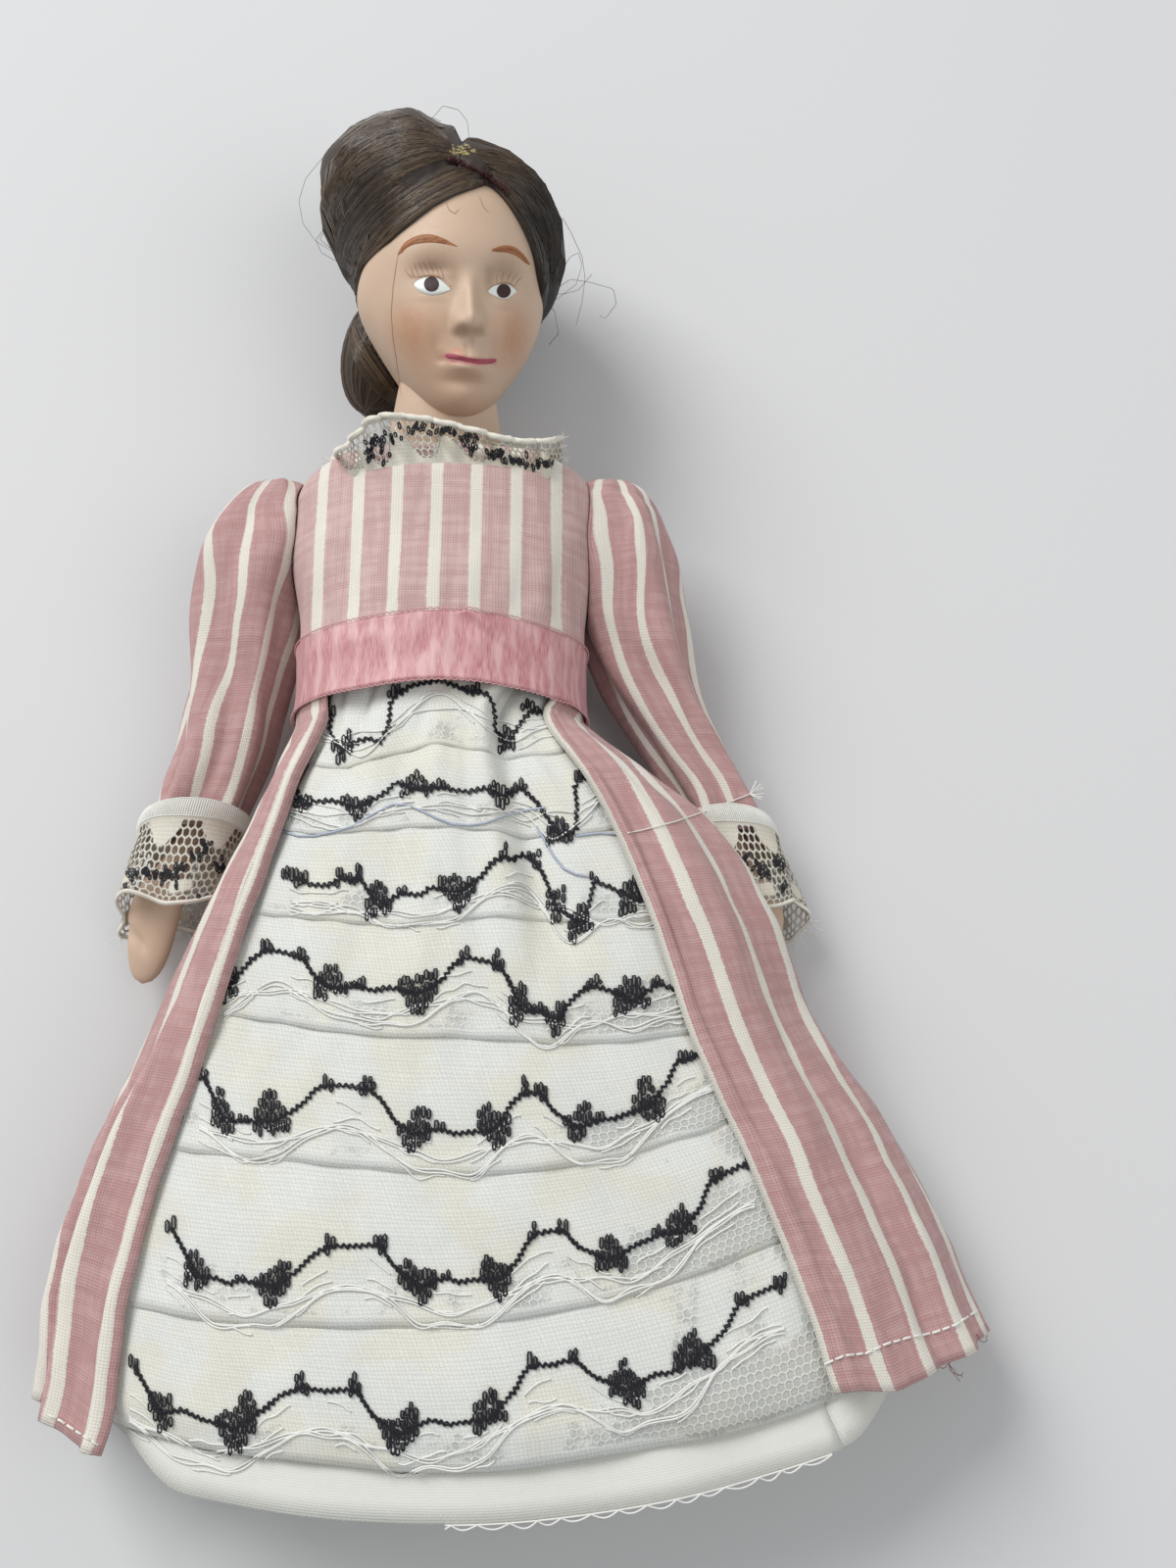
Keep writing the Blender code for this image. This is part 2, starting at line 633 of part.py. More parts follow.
def cuff_face(side, extra):
    def place(across, along):
        turn = 2 * math.pi * across
        narrow = 0.92 if side > 0 else 1.0
        flare = 1.1 * along - 0.6 * bump(along, 0.35, 0.25)
        frill = 0.5 * along * math.cos(6 * turn)
        wide = WRIST_RADIUS * narrow + 0.4 + FIT + 0.25 + flare + frill + extra
        spot = arm_line(side, SLEEVE_END - 0.02 + 0.17 * along)
        return (spot.x + wide * math.cos(turn), spot.y + 0.6 * math.sin(turn),
                max(0.3 + extra, spot.z + 0.86 * wide * math.sin(turn)))
    return place


def sweep(name, finish, line, radii, sides, rows, group=None):
    """Round bar along a line, wide by high at each level."""
    def place(across, along):
        step = 0.01
        ahead = Vector(line(min(along + step, 1.0))) - Vector(line(max(along - step, 0.0)))
        ahead.normalize()
        wide_way = ahead.cross(Vector((0, 0, 1))).normalized()
        high_way = wide_way.cross(ahead).normalized()
        wide, high = radii(along)
        turn = 2 * math.pi * across
        return Vector(line(along)) + wide_way * wide * math.cos(turn) \
            + high_way * high * math.sin(turn)
    return solid(name, finish, sides, rows, place, group)


def rounded(level, start=0.06, end=0.06):
    """Blunt both ends of a bar."""
    low = min(1.0, level / start)
    high = min(1.0, (1.0 - level) / end)
    return math.sqrt(max(0.0, 1.0 - (1.0 - low) ** 2)) * math.sqrt(max(0.0, 1.0 - (1.0 - high) ** 2))


ELBOW = 0.5
for side, label in ((1, "left"), (-1, "right")):
    sleeve = shell("sleeve_" + label, "striped_cotton", 18, 8, sleeve_face(side, -CLOTH),
                   sleeve_face(side, 0.0))
    room = solid("bodice_room", None, 28, 6,
                 lambda u, v: bodice_point(2 * math.pi * u, v, CLOTH + FIT), cutters)
    combine(sleeve, room, "DIFFERENCE")
    way_in = rod("way_in", (BODY_X + side * 12, ARM_Y, BODY_Z), arm_line(side, 0.25) + Vector((0, 0, 0.8)),
                 ARM_RADIUS + 1.1, 16)
    combine(sleeve, way_in, "DIFFERENCE")
    shell("cuff_lace_" + label, "lace", 24, 2, cuff_face(side, 0.0), cuff_face(side, LACE))

    shoulder_x = BODY_X + side * (PLATE_HALF_WIDTH - PLATE_WALL)
    elbow = arm_line(side, ELBOW)

    def upper_line(level, shoulder_x=shoulder_x, elbow=elbow, side=side):
        x = follow((shoulder_x, shoulder_x + side * 7.5, elbow.x - side * 2.0, elbow.x, elbow.x), level)
        y = follow((ARM_Y, ARM_Y + 0.3, ARM_Y - 4.0, 20.0, elbow.y), level)
        z = follow((BODY_Z, BODY_Z - 0.3, BODY_Z - 2.4, elbow.z + 0.8, elbow.z), level)
        return (x, y, z)

    sweep("upper_arm_" + label, "body_cloth", upper_line,
          lambda v: (ARM_RADIUS * (0.75 + 0.25 * rounded(v)),) * 2, 12, 7)

    def fore_line(level, side=side):
        start = arm_line(side, ELBOW + 0.5 * level)
        drop = max(0.0, level - 0.82) / 0.18
        return start + Vector((side * 1.5 * drop, -0.6 - 8.4 * drop, -1.2 * drop))

    def fore_size(level):
        blunt = rounded(level, 0.05, 0.1)
        palm = smooth(0.72, 0.86, level)
        wide = ARM_RADIUS - 1.1 * smooth(0.0, 0.7, level) + 1.2 * palm
        high = ARM_RADIUS - 1.1 * smooth(0.0, 0.7, level) - 0.6 * palm
        return (wide * max(blunt, 0.12), high * max(blunt, 0.12))

    forearm = sweep("forearm_" + label, SKIN, fore_line, fore_size, 12, 12)
    wrist = Vector(fore_line(0.8))
    thumb = ball("thumb_tool", wrist + Vector((-side * 1.9, -3.4, 0.7)), (1.1, 3.0, 1.0), side * 14, 8)
    combine(forearm, thumb, "UNION")

    hip_x = BODY_X + side * 6.0

    def thigh_line(level, hip_x=hip_x, side=side):
        return (hip_x + (3.4 + side * 0.8) * level, -14.05 - 29.55 * level, 14.6 - 6.2 * level)

    sweep("upper_leg_" + label, "body_cloth", thigh_line,
          lambda v: (LEG_RADIUS * (0.8 + 0.2 * rounded(v)),) * 2, 12, 5)

    def shin_line(level, hip_x=hip_x, side=side):
        return (hip_x + 3.4 + side * 0.8 + 4.6 * level, -44.6 - 43.0 * level, 8.0 - 1.9 * level)

    def shin_size(level):
        calf = LEG_RADIUS - 0.5 + 0.5 * bump(level, 0.25, 0.2) - 1.1 * smooth(0.35, 0.75, level)
        return (calf * max(rounded(level, 0.04, 0.04), 0.5),) * 2

    shin = sweep("lower_leg_" + label, SKIN, shin_line, shin_size, 12, 7)
    ankle = Vector(shin_line(0.97))
    boot = sweep("boot_tool", None,
                 lambda v, ankle=ankle: ankle + Vector((0.2, -0.6 - 2.4 * v, -0.4 + 9.6 * v)),
                 lambda v: ((2.6 - 0.5 * v) * max(rounded(v, 0.15, 0.15), 0.4),
                            (3.0 - 0.6 * v) * max(rounded(v, 0.15, 0.15), 0.4)), 10, 6, cutters)
    combine(shin, boot, "UNION")

# The box is centred on the origin and stands on Z = 0.
points = [vert.co for body in collection.objects for vert in body.data.vertices]
low = Vector([min(point[axis] for point in points) for axis in range(3)])
high = Vector([max(point[axis] for point in points) for axis in range(3)])
shift = Matrix.Translation((-(low.x + high.x) / 2.0, -(low.y + high.y) / 2.0, -low.z))
for body in collection.objects:
    body.data.transform(shift)
print("box mm", [round(1000 * value, 2) for value in high - low],
      "shift mm", [round(1000 * value, 3) for value in shift.translation])
print("triangles", sum(len(face.vertices) - 2 for body in collection.objects
                       for face in body.data.polygons))
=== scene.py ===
# %% [markdown]
# # A small porcelain doll, dressed in striped cotton and lace
#
# The doll lies on its back. It has a bisque head, hands and boots on a stuffed
# cloth body, a wig of synthetic fibre, and a sewn dress. This script dresses a
# finished solid model: it loads that model as a frame, and every piece of
# cloth, hair and lace made here keeps to the place that the frame gives it.

# %% The frame
import random
from math import asin, atan2, copysign, cos, degrees, dist, exp, hypot, pi, radians, sin, sqrt, tan
from random import gauss, uniform

import bmesh
import bpy
from mathutils import Matrix, Vector
from mathutils import noise as uneven
from mathutils.bvhtree import BVHTree


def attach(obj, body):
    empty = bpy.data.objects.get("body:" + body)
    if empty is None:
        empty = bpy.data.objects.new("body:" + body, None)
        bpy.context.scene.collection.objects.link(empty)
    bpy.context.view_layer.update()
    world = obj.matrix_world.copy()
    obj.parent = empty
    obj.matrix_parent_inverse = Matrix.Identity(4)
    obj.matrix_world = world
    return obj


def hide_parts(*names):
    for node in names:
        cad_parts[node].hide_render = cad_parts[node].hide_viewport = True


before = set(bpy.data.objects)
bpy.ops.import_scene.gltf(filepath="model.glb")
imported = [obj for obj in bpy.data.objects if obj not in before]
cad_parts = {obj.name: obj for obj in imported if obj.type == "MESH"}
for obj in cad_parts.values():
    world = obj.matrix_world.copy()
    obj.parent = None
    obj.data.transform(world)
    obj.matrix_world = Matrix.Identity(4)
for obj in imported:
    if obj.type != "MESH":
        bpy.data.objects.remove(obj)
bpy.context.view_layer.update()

MM = 0.001
SHIFT = Vector((0.223, 0.154, 0.047))   # from the pattern's millimetres to the frame's

# %% [markdown]
# ## Camera, table and light
#
# The photograph looks down at the doll from a little below its feet. A camera
# could be turned by eye, but a height, a tilt and a lens are easier to correct,
# so it stands at a measured point and looks 72 degrees down. The table is
# plain and pale, and two wide lamps give the soft shade of a window.

# %% Camera
LOOK_DOWN = radians(72.0)
EYE = Vector((9.60, -77.94, 242.93))
HALF_VIEW = tan(radians(25.0))    # half of the picture's long side
forward = Vector((0.0, cos(LOOK_DOWN), -sin(LOOK_DOWN)))
upward = Vector((0.0, sin(LOOK_DOWN), cos(LOOK_DOWN)))
rightward = Vector((1.0, 0.0, 0.0))

lens = bpy.data.cameras.new("camera")
lens.sensor_width = 36.0
lens.lens = 18.0 / HALF_VIEW
lens.clip_start = 0.005
camera = bpy.data.objects.new("camera", lens)
camera.location = (EYE + SHIFT) * MM
camera.rotation_euler = forward.to_track_quat("-Z", "Y").to_euler()
bpy.context.scene.collection.objects.link(camera)
bpy.context.scene.camera = camera


def sight(px, py):
    """Direction from the eye through a point of the 1200 by 1600 picture."""
    return (forward * 800.0 / HALF_VIEW + rightward * (px - 600.0) + upward * (800.0 - py)).normalized()


def look(tree, px, py):
    """Where the line of sight through a picture point first meets a search tree."""
    return tree.ray_cast((EYE + SHIFT) * MM, sight(px, py))


print("lens, mm:", round(lens.lens, 1))

# %% Table
bm = bmesh.new()
bmesh.ops.create_grid(bm, x_segments=1, y_segments=1, size=1.2)
table_mesh = bpy.data.meshes.new("table")
bm.to_mesh(table_mesh)
bm.free()
table = bpy.data.objects.new("table", table_mesh)
bpy.context.scene.collection.objects.link(table)

paper = bpy.data.materials.new("pale_table")
paper.use_nodes = True
nodes, links = paper.node_tree.nodes, paper.node_tree.links
shader = nodes["Principled BSDF"]
shader.inputs["Roughness"].default_value = 0.8
tone = nodes.new("ShaderNodeTexNoise")
tone.inputs["Scale"].default_value = 9.0
ramp = nodes.new("ShaderNodeMapRange")
ramp.inputs["To Min"].default_value = 0.60
ramp.inputs["To Max"].default_value = 0.66
links.new(tone.outputs["Fac"], ramp.inputs["Value"])
links.new(ramp.outputs["Result"], shader.inputs["Base Color"])
table.data.materials.append(paper)

# %% Light
def lamp(name, place, aim, size, watts):
    """A square soft lamp; place and aim are in metres."""
    data = bpy.data.lights.new(name, "AREA")
    data.shape = "SQUARE"
    data.size = size
    data.energy = watts
    made = bpy.data.objects.new(name, data)
    made.location = place
    made.rotation_euler = (Vector(aim) - Vector(place)).to_track_quat("-Z", "Y").to_euler()
    bpy.context.scene.collection.objects.link(made)
    return made


lamp("window", (-0.75, 0.75, 0.95), (0, 0, 0), 0.8, 17.0)
lamp("room", (0.8, -0.3, 1.1), (0, 0, 0), 1.0, 5.0)
world = bpy.data.worlds.new("room_air")
bpy.context.scene.world = world
world.use_nodes = True
air = world.node_tree.nodes["Background"]
air.inputs["Color"].default_value = (0.95, 0.97, 1.0, 1.0)
air.inputs["Strength"].default_value = 0.42
bpy.context.scene.view_settings.view_transform = "Standard"

# %% [markdown]
# ## Curves that place the pieces
#
# A dressmaker works from a few measured sections. Here each piece is a flat
# grid whose points are laid on such sections, as cloth is laid on a form. A
# sculpted mesh could do it too, but a section with named sizes is quicker to
# correct, and every layer of cloth can share it.

# %% Helpers for smooth profiles
def smooth(edge0, edge1, value):
    """Ramp from 0 to 1 with level ends."""
    part = min(1.0, max(0.0, (value - edge0) / (edge1 - edge0)))
    return part * part * (3.0 - 2.0 * part)


def bump(value, centre, width):
    """Bell of height 1."""
    return exp(-((value - centre) / width) ** 2)


def follow(stations, value):
    """Read a smooth profile through a few evenly spaced stations."""
    last = len(stations) - 1
    place = min(max(value, 0.0), 1.0) * last
    first = min(int(place), last - 1)
    part = place - first
    before = stations[max(first - 1, 0)]
    start = stations[first]
    end = stations[first + 1]
    after = stations[min(first + 2, last)]
    slope_a = (end - before) / 2.0
    slope_b = (after - start) / 2.0
    square = part * part
    cube = square * part
    return ((2 * cube - 3 * square + 1) * start + (cube - 2 * square + part) * slope_a
            + (3 * square - 2 * cube) * end + (cube - square) * slope_b)


def to_frame(spot):
    """Millimetres of the pattern to metres of the frame."""
    return (Vector(spot) + SHIFT) * MM


# %% Helpers that turn a grid or a line into a piece
body_of_doll = bpy.data.collections.new("dressed_doll")
bpy.context.scene.collection.children.link(body_of_doll)


def keep(bm, name, finish=None, stands_for=(), soften=True):
    """Make a bmesh a piece that rides on the doll."""
    mesh = bpy.data.meshes.new(name)
    bm.to_mesh(mesh)
    bm.free()
    made = bpy.data.objects.new(name, mesh)
    body_of_doll.objects.link(made)
    if soften:
        mesh.shade_smooth()
    if finish:
        mesh.materials.append(finish)
    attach(made, "root")
    if stands_for:
        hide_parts(*stands_for)
    return made


def laid(columns, rows, place, closed=False, size=None):
    """A grid laid on a surface. size(u, v) gives its cloth measure in millimetres."""
    bm = bmesh.new()
    bmesh.ops.create_grid(bm, x_segments=columns, y_segments=rows, size=0.5)
    flat = bm.loops.layers.uv.new("cloth")
    for face in bm.faces:
        for loop in face.loops:
            u, v = loop.vert.co.x + 0.5, loop.vert.co.y + 0.5
            loop[flat].uv = size(u, v) if size else (u, v)
    for vert in bm.verts:
        vert.co = to_frame(place(vert.co.x + 0.5, vert.co.y + 0.5))
    if closed:
        bmesh.ops.remove_doubles(bm, verts=bm.verts[:], dist=1.5e-6)
    return bm


def facing(bm, toward):
    """Turn an open sheet so that it faces along a direction."""
    total = sum((face.normal * face.calc_area() for face in bm.faces), Vector())
    if total.dot(Vector(toward)) < 0:
        bmesh.ops.reverse_faces(bm, faces=bm.faces[:])


def thicken(piece, thick, offset=-1.0):
    """Give a sheet its thickness in millimetres."""
    wall = piece.modifiers.new("thickness", "SOLIDIFY")
    wall.thickness = thick * MM
    wall.offset = offset
    return piece


def merged(bm, other):
    """Two grids as one piece, facing outward."""
    mesh = bpy.data.meshes.new("merged_part")
    other.to_mesh(mesh)
    other.free()
    bm.from_mesh(mesh)
    bpy.data.meshes.remove(mesh)
    bmesh.ops.recalc_face_normals(bm, faces=bm.faces[:])
    return bm


def threads(name, paths, radius, finish, taper=None, sides=0):
    """Fine round threads through lists of points, as one piece with closed ends."""
    line = bpy.data.curves.new(name, "CURVE")
    line.dimensions = "3D"
    line.bevel_depth = radius * MM
    line.bevel_resolution = sides
    line.use_fill_caps = True
    for path in paths:
        spline = line.splines.new("POLY")
        spline.points.add(len(path) - 1)
        for count, spot in enumerate(path):
            spline.points[count].co = (*to_frame(spot), 1.0)
            if taper:
                spline.points[count].radius = taper(count / max(len(path) - 1, 1))
    holder = bpy.data.objects.new(name + "_line", line)
    mesh = bpy.data.meshes.new_from_object(holder)
    bpy.data.objects.remove(holder)
    bpy.data.curves.remove(line)
    bm = bmesh.new()
    bm.from_mesh(mesh)
    bpy.data.meshes.remove(mesh)
    return keep(bm, name, finish)


print("profiles ready")

# %% [markdown]
# ## Finishes that several pieces share
#
# Woven cloth is yarns that pass over and under each other, so its weave is one
# node group with the yarn pitch as an input. The stripes, the fibres of the
# hair and the blotches of fired clay are groups too. Pictures of cloth would be
# quicker to apply, but a group keeps its scale on every piece, in millimetres.

# %% Helpers for node groups
def group(name, inputs, outputs):
    """An empty shader group with named sockets."""
    tree = bpy.data.node_groups.new(name, "ShaderNodeTree")
    for label, kind, value in inputs:
        socket = tree.interface.new_socket(label, in_out="INPUT", socket_type="NodeSocket" + kind)
        if value is not None:
            socket.default_value = value
    for label, kind in outputs:
        tree.interface.new_socket(label, in_out="OUTPUT", socket_type="NodeSocket" + kind)
    return tree, tree.nodes.new("NodeGroupInput"), tree.nodes.new("NodeGroupOutput")


def feed(tree, socket, value):
    """Link an output to a socket, or set the socket to a plain value."""
    if isinstance(value, bpy.types.NodeSocket):
        tree.links.new(value, socket)
    else:
        socket.default_value = value


def calc(tree, operation, *values, kind="Math"):
    """One sum of the shader, on numbers or on vectors."""
    node = tree.nodes.new("ShaderNode" + kind)
    node.operation = operation
    for socket, value in zip(node.inputs, values):
        feed(tree, socket, value)
    return node.outputs[0]


def times(tree, *values):
    return calc(tree, "MULTIPLY", *values)


def plus(tree, *values):
    return calc(tree, "ADD", *values)


def minus(tree, *values):
    return calc(tree, "SUBTRACT", *values)


def parts_of(tree, vector):
    """The three numbers of a vector."""
    node = tree.nodes.new("ShaderNodeSeparateXYZ")
    tree.links.new(vector, node.inputs[0])
    return node.outputs


def scaled(tree, vector, size):
    node = tree.nodes.new("ShaderNodeVectorMath")
    node.operation = "SCALE"
    feed(tree, node.inputs[0], vector)
    feed(tree, node.inputs["Scale"], size)
    return node.outputs[0]


def between(tree, value, low, high, start=0.0, end=1.0):
    """Smooth step from start to end as value goes from low to high."""
    node = tree.nodes.new("ShaderNodeMapRange")
    node.interpolation_type = "SMOOTHSTEP"
    for label, given in (("Value", value), ("From Min", low), ("From Max", high),
                         ("To Min", start), ("To Max", end)):
        feed(tree, node.inputs[label], given)
    return node.outputs["Result"]


def noise(tree, vector, scale, detail=2.0, stretch=None):
    if stretch:
        turn = tree.nodes.new("ShaderNodeMapping")
        turn.inputs["Scale"].default_value = stretch
        tree.links.new(vector, turn.inputs["Vector"])
        vector = turn.outputs["Vector"]
    node = tree.nodes.new("ShaderNodeTexNoise")
    node.inputs["Scale"].default_value = scale
    node.inputs["Detail"].default_value = detail
    tree.links.new(vector, node.inputs["Vector"])
    return node.outputs["Fac"]


def blend(tree, share, first, second, mode="MIX"):
    node = tree.nodes.new("ShaderNodeMix")
    node.data_type = "RGBA"
    node.blend_type = mode
    feed(tree, node.inputs[0], share)
    feed(tree, node.inputs[6], first)
    feed(tree, node.inputs[7], second)
    return node.outputs[2]


# %% Weave
def make_weave():
    """Plain weave: height of the yarns, and a mask of the gaps between them, which the cloth finishes darken
    as painted shade.
    """
    tree, start, end = group("weave", [("Cloth", "Vector", None), ("Pitch", "Float", 0.37),
                                       ("Unevenness", "Float", 0.5)],
                             [("Height", "Float"), ("Gap", "Float"), ("Slub", "Float")])
    slub = noise(tree, start.outputs["Cloth"], 90.0, 3.0, (1.0, 0.12, 1.0))
    slub_two = noise(tree, start.outputs["Cloth"], 90.0, 3.0, (0.12, 1.0, 1.0))
    waves = []
    for part, wander in zip(parts_of(tree, start.outputs["Cloth"]), (slub, slub_two)):
        place = calc(tree, "DIVIDE", times(tree, part, 100.0), start.outputs["Pitch"])
        off = times(tree, minus(tree, wander, 0.5), start.outputs["Unevenness"])
        waves.append(calc(tree, "SINE", times(tree, plus(tree, place, off), pi)))
    over = between(tree, times(tree, waves[0], waves[1]), -0.3, 0.3)
    warp = calc(tree, "ABSOLUTE", waves[0])
    weft = calc(tree, "ABSOLUTE", waves[1])
    one = times(tree, warp, over)
    two = times(tree, weft, minus(tree, 1.0, over))
    height = plus(tree, one, two)
    tree.links.new(height, end.inputs["Height"])
    tree.links.new(between(tree, calc(tree, "MAXIMUM", warp, weft), 0.75, 0.3), end.inputs["Gap"])
    tree.links.new(times(tree, slub, slub_two), end.inputs["Slub"])
    return tree


def make_stripes():
    """Cream stripes that run along the cloth, one each repeat."""
    tree, start, end = group("stripes", [("Cloth", "Vector", None), ("Repeat", "Float", 5.8),
                                         ("Width", "Float", 1.6), ("Start", "Float", 0.0)],
                             [("Stripe", "Float")])
    across = parts_of(tree, start.outputs["Cloth"])[0]
    place = minus(tree, times(tree, across, 100.0), start.outputs["Start"])
    rough = noise(tree, start.outputs["Cloth"], 260.0, 1.0, (0.3, 1.0, 1.0))
    ragged = times(tree, minus(tree, rough, 0.5), 0.35)
    near = calc(tree, "PINGPONG", plus(tree, place, ragged),
                calc(tree, "DIVIDE", start.outputs["Repeat"], 2.0))
    edge = calc(tree, "DIVIDE", start.outputs["Width"], 2.0)
    tree.links.new(between(tree, near, plus(tree, edge, 0.14), minus(tree, edge, 0.14)),
                   end.inputs["Stripe"])
    return tree


def make_blotch():
    """Soft uneven tone at two sizes, as in clay, fibre or washed cloth."""
    tree, start, end = group("blotch", [("Place", "Vector", None), ("Size", "Float", 5.0),
                                        ("Strength", "Float", 0.1)], [("Tone", "Float")])
    sized = scaled(tree, start.outputs["Place"], calc(tree, "DIVIDE", 1000.0, start.outputs["Size"]))
    large = noise(tree, sized, 1.0, 3.0)
    fine = noise(tree, sized, 9.0, 2.0)
    both = plus(tree, times(tree, large, 0.7), times(tree, fine, 0.3))
    tone = calc(tree, "MULTIPLY_ADD", minus(tree, both, 0.5), start.outputs["Strength"], 1.0)
    tree.links.new(tone, end.inputs["Tone"])
    return tree


WEAVE, STRIPES, BLOTCH = make_weave(), make_stripes(), make_blotch()
print("groups:", [tree.name for tree in bpy.data.node_groups])


# %% Helpers for materials
def finish(name, roughness=0.85, **constants):
    """A new material, its tree and its shader, with constants such as Sheen_Weight."""
    made = bpy.data.materials.new(name)
    made.use_nodes = True
    tree = made.node_tree
    main = tree.nodes["Principled BSDF"]
    main.inputs["Roughness"].default_value = roughness
    for label, value in constants.items():
        main.inputs[label.replace("_", " ")].default_value = value
    return made, tree, main


def coloured(tree, main, colour):
    tree.links.new(colour, main.inputs["Base Color"])


def placed(tree, kind, **values):
    """One of the shared groups, with its values."""
    node = tree.nodes.new("ShaderNodeGroup")
    node.node_tree = kind
    for label, value in values.items():
        feed(tree, node.inputs[label], value)
    return node


def coordinates(tree, kind="UV"):
    node = tree.nodes.new("ShaderNodeTexCoord")
    return node.outputs[kind]


def relief(tree, main, height, distance, strength=1.0):
    """Raise a height, in millimetres, on the surface."""
    node = tree.nodes.new("ShaderNodeBump")
    node.inputs["Distance"].default_value = distance * MM
    node.inputs["Strength"].default_value = strength
    tree.links.new(height, node.inputs["Height"])
    tree.links.new(node.outputs["Normal"], main.inputs["Normal"])


def tinted(tree, colour, tone):
    """A colour multiplied by a tone that varies."""
    return scaled(tree, colour if isinstance(colour, bpy.types.NodeSocket) else colour[:3], tone)


# %% [markdown]
# The dress is a soft cotton, dyed in the yarn: dusty pink with narrow cream
# stripes. Its weave carries painted shade in the gaps between the yarns and
# painted light on their crowns, and washing has left it uneven.

# %% Striped cotton
def striped_cotton(name, begin, repeat=5.8, width=1.65,
                   pinks=((0.41, 0.215, 0.205, 1.0), (0.51, 0.31, 0.30, 1.0), (0.58, 0.385, 0.37, 1.0))):
    made, tree, main = finish(name, 0.9, Sheen_Weight=0.15, Sheen_Roughness=0.5)
    cloth = coordinates(tree)
    weave = placed(tree, WEAVE, Cloth=cloth, Pitch=0.37, Unevenness=0.9)
    stripe = placed(tree, STRIPES, Cloth=cloth, Repeat=repeat, Width=width, Start=begin)
    blotch = placed(tree, BLOTCH, Place=coordinates(tree, "Object"), Size=9.0, Strength=0.28)
    yarn = blend(tree, between(tree, weave.outputs["Slub"], 0.16, 0.38), pinks[0], pinks[1])
    # the crowns of the yarns are painted a lighter pink: painted light on the weave
    yarn_with_painted_crown_light = blend(tree, times(tree, weave.outputs["Height"], 0.45), yarn, pinks[2])
    colour = blend(tree, stripe.outputs["Stripe"], yarn_with_painted_crown_light, (0.75, 0.71, 0.63, 1.0))
    # the gaps of the weave are darkened: painted shade between the yarns; the blotch is uneven washing
    shade = times(tree, blotch.outputs["Tone"],
                 between(tree, weave.outputs["Gap"], 0.0, 1.0, 1.0, 0.72))
    coloured(tree, main, tinted(tree, colour, shade))
    height = plus(tree, weave.outputs["Height"], times(tree, stripe.outputs["Stripe"], 0.4))
    relief(tree, main, height, 0.06, 0.8)
    return made


# %% White cotton and lace thread
def white_cotton():
    made, tree, main = finish("white_cotton", 0.9, Sheen_Weight=0.1)
    weave = placed(tree, WEAVE, Cloth=coordinates(tree), Pitch=0.3, Unevenness=0.8)
    blotch = placed(tree, BLOTCH, Place=coordinates(tree, "Object"), Size=12.0, Strength=0.16)
    # the gaps of the weave are darkened: painted shade between the yarns; the blotch is uneven tone
    shade = times(tree, blotch.outputs["Tone"],
                 between(tree, weave.outputs["Gap"], 0.0, 1.0, 1.0, 0.86))
    coloured(tree, main, tinted(tree, (0.72, 0.725, 0.665), shade))
    relief(tree, main, weave.outputs["Height"], 0.05, 0.7)
    return made


def yarn_finish(name, colour, roughness=0.8, twist=0.12):
    """Thread: its twist shows as a fine unevenness of tone."""
    made, tree, main = finish(name, roughness)
    blotch = placed(tree, BLOTCH, Place=coordinates(tree, "Object"), Size=1.2, Strength=twist * 2)
    coloured(tree, main, tinted(tree, colour, blotch.outputs["Tone"]))
    relief(tree, main, noise(tree, coordinates(tree, "Object"), 5000.0, 1.0), 0.02, 0.6)
    return made


WHITE = white_cotton()
CREAM_THREAD = yarn_finish("cream_thread", (0.74, 0.71, 0.62, 1.0))
WHITE_THREAD = yarn_finish("white_thread", (0.80, 0.80, 0.76, 1.0))
BLACK_THREAD = yarn_finish("black_thread", (0.008, 0.008, 0.013, 1.0), 0.75, 0.4)
print("materials:", len(bpy.data.materials))

# %% [markdown]
# ## Skirts
#
# Under the striped overskirt hangs a white underskirt, and between the two a
# white front panel carries seven rows of lace. All of them are one flared
# section, pushed outward layer by layer. A cloth simulation would settle them
# too, but this cloth was photographed in one rest position, so each fold is
# set where it lies.

# %% Measures of the dress, in millimetres
BODY_X, BODY_Z = -11.5, 16.8
WAIST_HALF_WIDTH, WAIST_HALF_DEPTH = 16.9, 10.4
CLOTH, FIT = 0.4, 0.35
WAIST_Y, HEM_Y, HEM_SLOPE, HEM_SAG = 9.5, -95.0, 0.065, 0.0034
UNDER_REACH, UNDER_EASE = 1.047, 0.9
HEM_HALF_WIDTH, HEM_HEIGHT = 62.0, 22.0
FOLD_DEPTH, LAYER_STEP = 1.1, 0.8
FRONT, SASH_ZONE = 0.4, 0.065
LAYERS_AT_BACK = LAYER_STEP + CLOTH
LEFT_BULGE = (0.0, 9.0, 9.0, 5.5, 6.0, 4.0, 0.0)
RIGHT_BULGE = (0.0, 1.0, 2.6, 4.4, 6.2, 4.6, 0.0)
SIDE_HEIGHT = (BODY_Z, 18.0, 16.4, 10.8, 7.0, 5.4, 4.4)
TOP_HEIGHT = (BODY_Z + WAIST_HALF_DEPTH, 27.4, 27.0, 26.0, 24.8, 23.4, HEM_HEIGHT)


def skirt_angle(across, along):
    """Angle round the section; both front edges keep their own line."""
    edge_left = radians(51.0 - 31.0 * exp(-along / 0.06))
    edge_right = radians(138.0 + 2.0 * along)
    across = across % 1.0
    if across <= FRONT:
        return edge_left + (edge_right - edge_left) * across / FRONT
    back = (across - FRONT) / (1.0 - FRONT)
    back -= 0.55 * sin(2 * pi * back) / (2 * pi)
    return edge_right + (edge_left + 2 * pi - edge_right) * back


